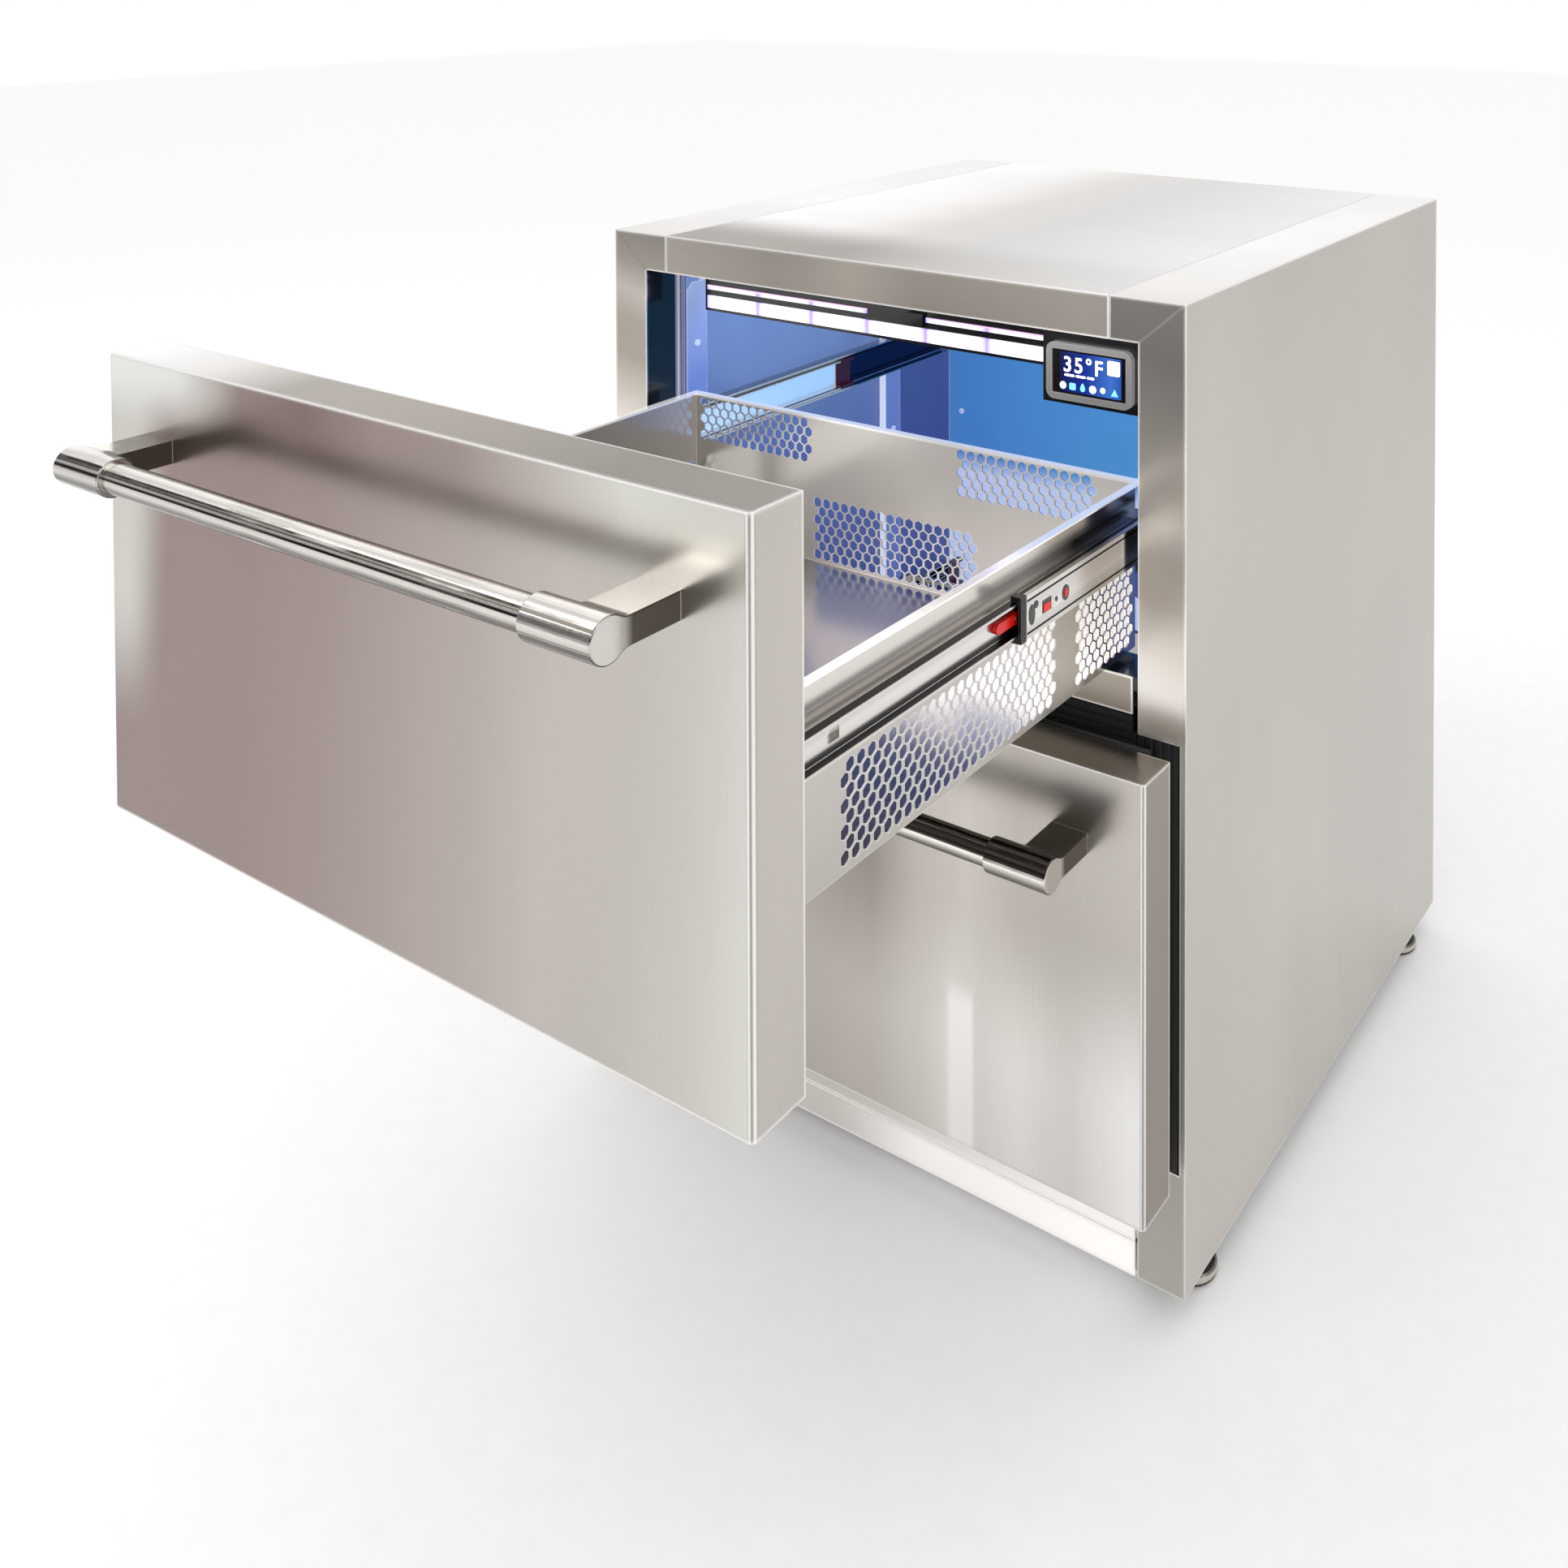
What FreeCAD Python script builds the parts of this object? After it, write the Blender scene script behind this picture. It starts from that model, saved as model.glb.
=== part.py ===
import FreeCAD, Part
import math
import os
import Sketcher

# Under-counter refrigerator with two drawers. The cabinet stands on four levelling feet; the upper
# drawer is pulled out to the end of its slides and the lower drawer is shut.
# Frame: +X to the right as the user faces the drawers, +Y towards the back, +Z up, in millimetres.
# The origin is on the floor, at the middle of the cabinet's width, under the cabinet's front face.

DIMENSIONS = {
    # cabinet
    "cabinet_width": 683,
    "cabinet_depth": 650.5,
    "cabinet_height": 876,
    "floor_gap": 25,
    "sheet_thickness": 1.5,
    "rail_height": 38.6,
    "stile_width": 46,
    "seam_inset": 74.8,
    "seam_gap": 0.4,
    "groove_width": 0.9,
    "groove_depth": 0.6,
    "clearance": 0.2,
    "upper_opening_bottom": 548,
    "mid_rail_bottom": 516,
    "mid_rail_half": 290,
    "lower_opening_top": 478,
    "lower_opening_bottom": 151,
    "kick_height": 30.4,
    "bottom_rail_top": 150,
    "seal_edge": 336,
    "seal_top": 500,
    "seal_bottom": 131,
    "seal_depth": 8.2,
    "breaker_depth": 41,
    "breaker_wall": 12,
    # liner and insulation
    "liner_half": 306,
    "liner_front": 45,
    "liner_back": 603,
    "liner_top": 838,
    "liner_thickness": 1.5,
    "step_front": 430,
    "step_top": 250,
    "bay_wall": 40,
    "foam_bottom": 70,
    "cover_front": 552,
    # trims, posts and fasteners inside
    "trim_back": 57.5,
    "trim_ridge": 2,
    "post_face": 295.8,
    "post_width": 29.7,
    "post_top": 812,
    "post_bevel": 9,
    "front_post_front": 58.3,
    "rear_post_front": 402,
    "screw_radius": 3.4,
    "screw_head": 1.6,
    "cover_screw_x": 284,
    # light bar and display
    "light_half": 252,
    "light_front": 46.2,
    "light_back": 60,
    "light_bottom": 791,
    "light_pitch": 72,
    "light_gap": 1.2,
    "lower_row_bottom": 794.5,
    "lower_row_height": 13,
    "upper_row_bottom": 814,
    "upper_row_height": 4.5,
    "housing_left": 198,
    "housing_bottom": 774,
    "housing_back": 34,
    "bezel_left": 205,
    "bezel_right": 291,
    "bezel_bottom": 779,
    "bezel_top": 829,
    "bezel_front": 4,
    "bezel_corner": 8,
    "bezel_rim": 5.5,
    # feet and base
    "foot_side": 318.5,
    "foot_front": 60,
    "foot_rear": 588,
    "foot_radius": 22,
    "foot_disc": 10,
    "stud_radius": 5,
    "stud_top": 62,
    "base_bottom": 27,
    "base_sheet": 2,
    "base_rim": 50,
    "bush_radius": 10,
    "bush_height": 18,
    "stud_play": 0.08,
    # drawers
    "drawer_travel": 454.6,
    "front_half": 335.75,
    "front_thickness": 44.2,
    "front_standoff": 17.2,
    "front_skin": 1.2,
    "front_corner": 3.6,
    "upper_front_bottom": 501.4,
    "upper_front_top": 859.3,
    "lower_front_bottom": 125.6,
    "lower_front_top": 494.8,
    "gasket_half": 311,
    "gasket_width": 12,
    "gasket_depth": 16.6,
    "upper_gasket_bottom": 524,
    "upper_gasket_top": 850,
    "lower_gasket_bottom": 133,
    "lower_gasket_top": 492,
    # handles
    "handle_half": 282,
    "handle_drop": 63.5,
    "handle_reach": 53,
    "bar_radius": 11,
    "ferrule_radius": 14,
    "ferrule_length": 60,
    "arm_width": 35,
    "arm_half_height": 9,
    "neck_radius": 12,
    # slides
    "slide_length": 457,
    "slide_front": 60,
    "slide_sheet": 1.5,
    "cabinet_member_half": 21,
    "cabinet_member_inner": 282,
    "middle_member_half": 17,
    "middle_member_inner": 279,
    "middle_member_outer": 288.5,
    "drawer_member_half": 13,
    "drawer_member_web": 276,
    "drawer_member_outer": 285,
    "drawer_member_back": 500,
    "drawer_spacer_half": 8,
    "bumper_length": 8,
    "catch_length": 26,
    "lever_reach": 23,
    "lever_tip": 4.2,
    "upper_slide_height": 659.5,
    "lower_slide_height": 335,
    # baskets
    "basket_half": 268.2,
    "basket_sheet": 1.2,
    "basket_rim": 6.5,
    "upper_basket_bottom": 553,
    "upper_basket_top": 700,
    "upper_basket_back": 498.6,
    "lower_basket_bottom": 176,
    "lower_basket_top": 376,
    "lower_basket_back": 415,
    # perforations
    "hex_pitch": 11.6,
    "hex_row": 8.8,
    "hex_radius": 5.35,
    # machine bay
    "compressor_x": 170,
    "compressor_y": 560,
    "compressor_radius": 66,
    "condenser_x": -226,
    "fan_radius": 54,
    "fan_hub": 17,
    "pipe_radius": 3.2,
}


class Size:
    """A length that carries its value and the sheet expression that it comes from."""

    def __init__(self, value, text):
        self.value = float(value)
        self.text = text

    def __add__(self, other):
        other = as_size(other)
        return Size(self.value + other.value, f"({self.text} + {other.text})")

    def __radd__(self, other):
        return as_size(other) + self

    def __sub__(self, other):
        other = as_size(other)
        return Size(self.value - other.value, f"({self.text} - {other.text})")

    def __rsub__(self, other):
        return as_size(other) - self

    def __mul__(self, other):
        other = as_size(other)
        return Size(self.value * other.value, f"({self.text} * {other.text})")

    def __rmul__(self, other):
        return as_size(other) * self

    def __truediv__(self, other):
        other = as_size(other)
        return Size(self.value / other.value, f"({self.text} / {other.text})")

    def __neg__(self):
        return Size(-self.value, f"(0 - {self.text})")


def as_size(item):
    """Turn a plain number into a Size; a Size stays as it is."""
    if isinstance(item, Size):
        return item
    return Size(item, f"({float(item)})")


class Sizes:
    """Every driving dimension as an attribute."""


doc = FreeCAD.newDocument("under_counter_fridge")
sheet = doc.addObject("Spreadsheet::Sheet", "sizes")
d = Sizes()
row = 1
for alias, number in DIMENSIONS.items():
    sheet.set(f"A{row}", alias)
    sheet.set(f"B{row}", str(number))
    sheet.setAlias(f"B{row}", alias)
    setattr(d, alias, Size(number, f"sizes.{alias}"))
    row += 1
doc.recompute()

nodes = []

half = d.cabinet_width / 2
seam = half - d.seam_inset
opening_half = half - d.stile_width
opening_top = d.cabinet_height - d.rail_height
skin_inside = half - d.sheet_thickness


# ---------------------------------------------------------------- helpers


def bind(thing, place, length):
    """Bind one property of an object to a sheet expression."""
    thing.setExpression(place, as_size(length).text)


def move(thing, x=0, y=0, z=0):
    """Bind where an object stands."""
    bind(thing, "Placement.Base.x", x)
    bind(thing, "Placement.Base.y", y)
    bind(thing, "Placement.Base.z", z)


def node(thing, label):
    """Keep an object as a sub-part of its own under this name."""
    thing.Label = label
    nodes.append(thing)
    return thing


def box(name, x, y, z):
    """A block between two limits along each axis."""
    block = doc.addObject("Part::Box", name)
    for side, limits in (("Length", x), ("Width", y), ("Height", z)):
        bind(block, side, as_size(limits[1]) - limits[0])
    move(block, x[0], y[0], z[0])
    return block


TURNS = {
    "X": FreeCAD.Rotation(FreeCAD.Vector(0, 1, 0), 90),
    "Y": FreeCAD.Rotation(FreeCAD.Vector(1, 0, 0), -90),
    "Z": FreeCAD.Rotation(),
}


def cylinder(name, axis, start, radius, length):
    """A round bar that starts at a point and runs along a frame axis."""
    bar = doc.addObject("Part::Cylinder", name)
    bar.Placement = FreeCAD.Placement(FreeCAD.Vector(), TURNS[axis])
    bind(bar, "Radius", radius)
    bind(bar, "Height", length)
    move(bar, *start)
    return bar


def cut(name, base, *tools):
    """A base with tools taken away from it."""
    result = doc.addObject("Part::Cut", name)
    result.Base = base
    if len(tools) == 1:
        result.Tool = tools[0]
    else:
        result.Tool = fuse(name + "_tools", *tools)
    return result


def fuse(name, *parts):
    """Several shapes joined into one."""
    result = doc.addObject("Part::MultiFuse", name)
    result.Shapes = list(parts)
    return result


def group(name, *parts):
    """Several separate solids that belong to one sub-part."""
    result = doc.addObject("Part::Compound", name)
    result.Links = list(parts)
    return result


def mirrored(name, part):
    """The same piece on the left-hand side."""
    copy = doc.addObject("Part::Mirroring", name)
    copy.Source = part
    copy.Normal = (1, 0, 0)
    return copy


def pair(label, right_part):
    """A right-hand piece and its left-hand twin, as one sub-part."""
    return node(group(label, right_part, mirrored(label + "_twin", right_part)), label)


def frame_ring(name, x, y, z, width):
    """A flat rectangular frame: outer limits and one width all round."""
    outer = box(name + "_outer", x, y, z)
    inner_x = (x[0] + width, x[1] - width)
    inner_z = (z[0] + width, z[1] - width)
    inner = box(name + "_inner", inner_x, (y[0] - 1, y[1] + 1), inner_z)
    return cut(name, outer, inner)


def new_body(name):
    return doc.addObject("PartDesign::Body", name)


def base_plane(body, role):
    for item in body.Origin.OriginFeatures:
        if item.Role == role:
            return item
    raise RuntimeError("no plane " + role)


def new_sketch(body, name, plane, offset=0):
    """An empty sketch on one of the body's own planes, moved along the plane's normal."""
    sketch = body.newObject("Sketcher::SketchObject", name)
    sketch.AttachmentSupport = [(base_plane(body, plane), "")]
    sketch.MapMode = "FlatFace"
    bind(sketch, "AttachmentOffset.Base.z", offset)
    return sketch


def pin_point(sketch, edge, end, x, y):
    """Fix one end of an edge at two bound distances from the sketch's origin."""
    for kind, length in (("DistanceX", x), ("DistanceY", y)):
        length = as_size(length)
        number = sketch.addConstraint(Sketcher.Constraint(kind, -1, 1, edge, end, length.value))
        label = f"{kind}_{edge}_{end}"
        sketch.renameConstraint(number, label)
        bind(sketch, "Constraints." + label, length)


def add_loop(sketch, points):
    """A closed outline of straight edges through bound points."""
    first = sketch.GeometryCount
    count = len(points)
    spots = [FreeCAD.Vector(as_size(x).value, as_size(y).value, 0) for x, y in points]
    for number in range(count):
        edge = Part.LineSegment(spots[number], spots[(number + 1) % count])
        sketch.addGeometry(edge, False)
    for number in range(count):
        following = first + (number + 1) % count
        sketch.addConstraint(Sketcher.Constraint("Coincident", first + number, 2, following, 1))
        pin_point(sketch, first + number, 1, *points[number])


def add_circle(sketch, x, y, radius):
    """A circle with a bound centre and radius."""
    centre = FreeCAD.Vector(as_size(x).value, as_size(y).value, 0)
    upwards = FreeCAD.Vector(0, 0, 1)
    edge = sketch.addGeometry(Part.Circle(centre, upwards, as_size(radius).value), False)
    pin_point(sketch, edge, 3, x, y)
    number = sketch.addConstraint(Sketcher.Constraint("Radius", edge, as_size(radius).value))
    sketch.renameConstraint(number, f"radius_{edge}")
    bind(sketch, f"Constraints.radius_{edge}", radius)


def rectangle(x, y):
    return [(x[0], y[0]), (x[1], y[0]), (x[1], y[1]), (x[0], y[1])]


def pad(body, sketch, length, backwards=False, symmetric=False):
    """Material along the sketch's normal, or against it."""
    feature = body.newObject("PartDesign::Pad", sketch.Name + "_pad")
    feature.Profile = sketch
    bind(feature, "Length", length)
    feature.Reversed = backwards
    if symmetric:
        feature.SideType = "Symmetric"
    return feature


def pocket(body, sketch, length, backwards=False):
    """A cut against the sketch's normal; it has to remove material."""
    doc.recompute()
    before = body.Shape.Volume
    feature = body.newObject("PartDesign::Pocket", sketch.Name + "_pocket")
    feature.Profile = sketch
    bind(feature, "Length", length)
    feature.Reversed = backwards
    doc.recompute()
    if body.Shape.Volume >= before - 1e-6:
        raise RuntimeError(sketch.Name + " cuts nothing")
    return feature


def revolve(body, sketch):
    """A full turn of the sketch about the body's vertical axis."""
    feature = body.newObject("PartDesign::Revolution", sketch.Name + "_turn")
    feature.Profile = sketch
    feature.ReferenceAxis = (sketch, ["V_Axis"])
    feature.Angle = 360
    return feature


def round_edges(body, radius, chosen):
    """Fillet the edges of the body's present shape that a test picks out."""
    doc.recompute()
    base = body.Tip
    names = []
    for number, edge in enumerate(base.Shape.Edges, start=1):
        if chosen(edge):
            names.append(f"Edge{number}")
    if not names:
        raise RuntimeError(body.Name + ": no edges to round")
    feature = body.newObject("PartDesign::Fillet", body.Name + "_fillet")
    feature.Base = (base, names)
    bind(feature, "Radius", radius)
    return feature


def extruded(name, plane, points, length, offset=0, backwards=False, symmetric=False):
    """A body made from one closed outline padded once."""
    body = new_body(name)
    sketch = new_sketch(body, name + "_outline", plane, offset)
    add_loop(sketch, points)
    pad(body, sketch, length, backwards, symmetric)
    return body


def runner(name, points, front, back):
    """A straight section along Y: the outline is in X and Z."""
    return extruded(name, "XZ_Plane", points, as_size(back) - front, -as_size(front), True)


def channel(inner, web, outer, centre, half_height, sheet_metal):
    """Outline of a slide member: a web with two flanges, in X and Z."""
    top = centre + half_height
    bottom = centre - half_height
    return [
        (inner, top),
        (outer, top),
        (outer, bottom),
        (inner, bottom),
        (inner, bottom + sheet_metal),
        (web, bottom + sheet_metal),
        (web, top - sheet_metal),
        (inner, top - sheet_metal),
    ]


# ---------------------------------------------------------------- cabinet skin


def side_panel():
    """Side sheet, folded over the top and back along the front as the stile and the rail's end."""
    label = "side_panel_right"
    body = new_body(label)
    seal_edge = d.seal_edge
    front = new_sketch(body, label + "_face", "XZ_Plane")
    face_outline = [
        (half, d.floor_gap),
        (half, d.cabinet_height),
        (seam, d.cabinet_height),
        (seam, opening_top),
        (opening_half, opening_top),
        (opening_half, d.seal_top),
        (seal_edge, d.seal_top),
        (seal_edge, d.seal_bottom),
        (opening_half, d.seal_bottom),
        (opening_half, d.floor_gap),
    ]
    add_loop(front, face_outline)
    pad(body, front, d.sheet_thickness, backwards=True)
    wrap = new_sketch(body, label + "_wrap", "XZ_Plane")
    wrap_outline = [
        (half, d.floor_gap),
        (half, d.cabinet_height),
        (seam, d.cabinet_height),
        (seam, d.cabinet_height - d.sheet_thickness),
        (skin_inside, d.cabinet_height - d.sheet_thickness),
        (skin_inside, d.floor_gap),
    ]
    add_loop(wrap, wrap_outline)
    pad(body, wrap, d.cabinet_depth, backwards=True)
    mitre = new_sketch(body, label + "_mitre", "XZ_Plane")
    groove_half = d.groove_width / 2
    past_corner = d.groove_width * d.rail_height / d.stile_width
    mitre_outline = [
        (opening_half - groove_half - d.groove_width, opening_top - past_corner),
        (opening_half - groove_half, opening_top - past_corner),
        (half + groove_half, d.cabinet_height),
        (half - groove_half, d.cabinet_height),
    ]
    add_loop(mitre, mitre_outline)
    pocket(body, mitre, d.groove_depth)
    node(body, label)
    node(mirrored("side_panel_left", body), "side_panel_left")


def top_panel():
    """Centre sheet of the top with the front rail folded down from it."""
    outline = [
        (0, opening_top),
        (d.sheet_thickness, opening_top),
        (d.sheet_thickness, d.cabinet_height - d.sheet_thickness),
        (d.cabinet_depth, d.cabinet_height - d.sheet_thickness),
        (d.cabinet_depth, d.cabinet_height),
        (0, d.cabinet_height),
    ]
    width = (seam - d.seam_gap) * 2
    node(extruded("top_panel", "YZ_Plane", outline, width, symmetric=True), "top_panel")


def cross_rails():
    """Steel rail between the two drawers, and the one under the lower opening with its fold."""
    width = (-d.mid_rail_half, d.mid_rail_half)
    height = (d.mid_rail_bottom, d.upper_opening_bottom)
    outline = rectangle(width, height)
    mid_rail = extruded("mid_rail", "XZ_Plane", outline, d.sheet_thickness, backwards=True)
    foot = d.floor_gap + d.kick_height + 1
    outline = [
        (0, foot),
        (20, foot),
        (20, foot + d.sheet_thickness),
        (d.sheet_thickness, foot + d.sheet_thickness),
        (d.sheet_thickness, d.bottom_rail_top),
        (0, d.bottom_rail_top),
    ]
    width = (opening_half - 2.5) * 2
    bottom_rail = extruded("bottom_rail", "YZ_Plane", outline, width, symmetric=True)
    node(group("cross_rails", mid_rail, bottom_rail), "cross_rails")


def kick_plate():
    """Removable plate at the foot of the front, with a fold under the base."""
    top = d.floor_gap + d.kick_height
    inside = d.floor_gap + d.sheet_thickness
    outline = [
        (0, d.floor_gap),
        (30, d.floor_gap),
        (30, inside),
        (d.sheet_thickness, inside),
        (d.sheet_thickness, top),
        (0, top),
    ]
    width = (opening_half - 2.5) * 2
    node(extruded("kick_plate", "YZ_Plane", outline, width, symmetric=True), "kick_plate")


def rear_panel():
    """Outer sheet of the back, above the machine bay."""
    edge = skin_inside - 3
    x = (-edge, edge)
    y = (d.cabinet_depth - 1.7, d.cabinet_depth - d.clearance)
    z = (d.step_top - 12, d.cabinet_height - 2)
    node(box("rear_panel", x, y, z), "rear_panel")


def rear_grille():
    """Slotted cover of the machine bay."""
    label = "rear_grille"
    edge = skin_inside - 3
    bottom = d.base_rim + 1
    top = d.step_top - 13
    body = extruded(label, "XZ_Plane", rectangle((-edge, edge), (bottom, top)), 1.5,
                    -(d.cabinet_depth - 1.7), backwards=True)
    slots = new_sketch(body, label + "_slots", "XZ_Plane", -(d.cabinet_depth - 1.7))
    slot_length = 70
    slot_height = 5
    for number in range(7):
        left = -310 + number * 92
        slot = rectangle((left, left + slot_length), (bottom + 12, bottom + 12 + slot_height))
        add_loop(slots, slot)
    opening = pocket(body, slots, 3)
    rows = body.newObject("PartDesign::LinearPattern", label + "_rows")
    rows.Originals = [opening]
    rows.Direction = (slots, ["V_Axis"])
    rows.Length = 154
    rows.Occurrences = 12
    body.Tip = rows
    node(body, label)


# ---------------------------------------------------------------- base and feet


def foot_places():
    """Centre of each foot: name, X and Y."""
    return [
        ("front_right", d.foot_side, d.foot_front),
        ("front_left", -d.foot_side, d.foot_front),
        ("rear_right", d.foot_side, d.foot_rear),
        ("rear_left", -d.foot_side, d.foot_rear),
    ]


def base_tray():
    """Folded tray under the machine bay, with a welded threaded bush for each foot stud."""
    edge = skin_inside - 0.3
    skin = d.base_sheet
    x = (-edge, edge)
    y = (4, d.cabinet_depth - 4)
    outer = box("base_outer", x, y, (d.base_bottom, d.base_rim))
    hollow = box("base_hollow", (x[0] + skin, x[1] - skin), (y[0] + skin, y[1] - skin),
                 (d.base_bottom + skin, d.base_rim + 1))
    tray = cut("base_folded", outer, hollow)
    bushes = []
    bores = []
    for name, foot_x, foot_y in foot_places():
        start = (foot_x, foot_y, d.base_bottom)
        bushes.append(cylinder("bush_" + name, "Z", start, d.bush_radius, d.bush_height))
        start = (foot_x, foot_y, d.base_bottom - 1)
        bores.append(cylinder("bush_bore_" + name, "Z", start, d.stud_radius + d.stud_play,
                              d.bush_height + 2))
    node(cut("base_tray", fuse("base_with_bushes", tray, *bushes), *bores), "base_tray")


def levelling_foot(name, foot_x, foot_y):
    """Round pad with a collar and a stud, turned from one profile."""
    label = "foot_" + name
    body = new_body(label)
    profile = new_sketch(body, label + "_profile", "XZ_Plane")
    outline = [
        (0, 0),
        (d.foot_radius - 2, 0),
        (d.foot_radius, 2),
        (d.foot_radius, d.foot_disc - 2),
        (d.foot_radius - 2, d.foot_disc),
        (d.stud_radius + 6, d.foot_disc + 2),
        (d.stud_radius + 3, d.foot_disc + 3),
        (d.stud_radius + 3, d.foot_disc + 10),
        (d.stud_radius, d.foot_disc + 10),
        (d.stud_radius, d.stud_top),
        (0, d.stud_top),
    ]
    add_loop(profile, outline)
    revolve(body, profile)
    move(body, foot_x, foot_y)
    node(body, label)


# ---------------------------------------------------------------- frames, liner and insulation


def liner_block(name, grow):
    """The inside of the cabinet as a solid, with the step over the machine bay, grown by a skin."""
    outline = [
        (d.liner_front, d.lower_opening_bottom - grow),
        (d.step_front + grow, d.lower_opening_bottom - grow),
        (d.step_front + grow, d.step_top - grow),
        (d.liner_back + grow, d.step_top - grow),
        (d.liner_back + grow, d.liner_top + grow),
        (d.liner_front, d.liner_top + grow),
    ]
    return extruded(name, "YZ_Plane", outline, (d.liner_half + grow) * 2, symmetric=True)


def inner_liner():
    """Thin tank, open at the front."""
    outside = liner_block("liner_outside", d.liner_thickness)
    inside = liner_block("liner_inside", 0)
    node(cut("inner_liner", outside, inside), "inner_liner")


def foam_insulation():
    """Foam between the liner and the outer sheets."""
    edge = skin_inside - 0.5
    front = d.liner_front + 0.5
    back = d.cabinet_depth - 3
    block = box("foam_block", (-edge, edge), (front, back),
                (d.foam_bottom, d.cabinet_height - 2))
    tank = liner_block("foam_tank", d.liner_thickness + d.clearance)
    mouth = box("foam_mouth", (-d.liner_half - 1, d.liner_half + 1), (front - 2, front + 3),
                (d.lower_opening_bottom - 1, d.liner_top + 1))
    bay = box("foam_bay", (-half, half), (d.step_front + d.bay_wall, back + 5),
              (0, d.step_top - d.bay_wall))
    node(cut("foam_insulation", block, tank, mouth, bay), "foam_insulation")


def opening_breakers():
    """Black frames inside the two openings; the lower one's top bar closes the middle."""
    wall = d.breaker_wall
    x = (-(opening_half + wall), opening_half + wall)
    y = (d.sheet_thickness + d.clearance, d.breaker_depth)
    z = (d.upper_opening_bottom - wall, opening_top + wall)
    upper = frame_ring("upper_breaker", x, y, z, wall)
    y = (d.seal_depth + d.clearance, d.breaker_depth)
    outer = box("lower_breaker_outer", x, y,
                (d.lower_opening_bottom - wall, d.upper_opening_bottom - wall - 1))
    inner = box("lower_breaker_inner", (-opening_half, opening_half), (y[0] - 1, y[1] + 1),
                (d.lower_opening_bottom, d.lower_opening_top))
    node(group("opening_breakers", upper, cut("lower_breaker", outer, inner)), "opening_breakers")


def lower_face_seal():
    """Black seal face round the sides and top of the lower opening, flush with the steel."""
    gap = d.clearance
    left_edge = d.seal_edge - gap
    inside = opening_half + gap
    shoulder = d.mid_rail_half
    outline = [
        (left_edge, d.seal_bottom + gap),
        (left_edge, d.seal_top - gap),
        (shoulder, d.seal_top - gap),
        (shoulder, d.mid_rail_bottom - gap),
        (-shoulder, d.mid_rail_bottom - gap),
        (-shoulder, d.seal_top - gap),
        (-left_edge, d.seal_top - gap),
        (-left_edge, d.seal_bottom + gap),
        (-inside, d.seal_bottom + gap),
        (-inside, d.lower_opening_top),
        (inside, d.lower_opening_top),
        (inside, d.seal_bottom + gap),
    ]
    set_back = 0.4
    body = extruded("lower_face_seal", "XZ_Plane", outline, d.seal_depth - set_back,
                    -set_back, backwards=True)
    node(body, "lower_face_seal")


def jamb_trims():
    """Ribbed steel strips behind the black frame, one each side."""
    face = d.post_face
    low = face + d.trim_ridge
    back = d.liner_half - d.clearance
    start = d.breaker_depth + 0.3
    rib = (d.trim_back - start) / 5
    outline = [(back, start), (face, start)]
    for number in range(1, 5):
        near, far = (face, low) if number % 2 else (low, face)
        outline.append((near, start + rib * number))
        outline.append((far, start + rib * number))
    outline.append((face, d.trim_back))
    outline.append((back, d.trim_back))
    strip_bottom = d.lower_opening_bottom + 2
    strip = extruded("jamb_trim", "XY_Plane", outline, d.liner_top - 2 - strip_bottom, strip_bottom)
    pair("jamb_trims", strip)


def slide_post(name, front, bottom):
    """Vertical hat section that carries the slides, bevelled at its top front corner."""
    skin = d.slide_sheet
    back = front + d.post_width
    face = d.post_face
    wall = d.liner_half - d.clearance
    outline = [
        (wall, front),
        (face, front),
        (face, back),
        (wall, back),
        (wall, back - skin),
        (face + skin, back - skin),
        (face + skin, front + skin),
        (wall, front + skin),
    ]
    body = extruded(name, "XY_Plane", outline, d.post_top - bottom, bottom)
    bevel = new_sketch(body, name + "_bevel", "YZ_Plane", face - 5)
    add_loop(bevel, [
        (front - 1, d.post_top - d.post_bevel),
        (front + d.post_bevel, d.post_top + 1),
        (front - 1, d.post_top + 1),
    ])
    pocket(body, bevel, 30, backwards=True)
    return body


def slide_posts():
    """Front and rear pairs of posts."""
    front = slide_post("front_post", d.front_post_front, d.lower_opening_bottom + 2)
    rear = slide_post("rear_post", d.rear_post_front, d.step_top + 1)
    pair("slide_posts", group("right_posts", front, rear))


def inside_screws():
    """Round screw heads on the posts and on the fan cover's edges."""
    heads = []
    for post, front in (("front", d.front_post_front), ("rear", d.rear_post_front)):
        for number, height in enumerate((300, 560, 745)):
            start = (d.post_face - d.screw_head, front + d.post_width / 2, height)
            name = f"screw_{post}_{number}"
            heads.append(cylinder(name, "X", start, d.screw_radius, d.screw_head))
    for number, height in enumerate((300, 550, 790)):
        start = (d.cover_screw_x, d.cover_front - d.screw_head, height)
        name = f"cover_screw_{number}"
        heads.append(cylinder(name, "Y", start, d.screw_radius, d.screw_head))
    pair("inside_screws", group("right_screws", *heads))


def fan_cover():
    """Sheet in front of the evaporator: the back wall that the user sees."""
    edge = d.liner_half - 0.3
    body = extruded("fan_cover", "XZ_Plane", rectangle((-edge, edge), (d.step_top + 1, d.liner_top - 1)),
                    d.sheet_thickness, -d.cover_front, backwards=True)
    mouth = new_sketch(body, "fan_cover_mouth", "XZ_Plane", -d.cover_front)
    add_circle(mouth, 0, 410, d.fan_radius + 5)
    for number in range(9):
        left = -212 + number * 50
        add_loop(mouth, rectangle((left, left + 26), (300, 306)))
    pocket(body, mouth, 5)
    node(body, "fan_cover")


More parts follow.
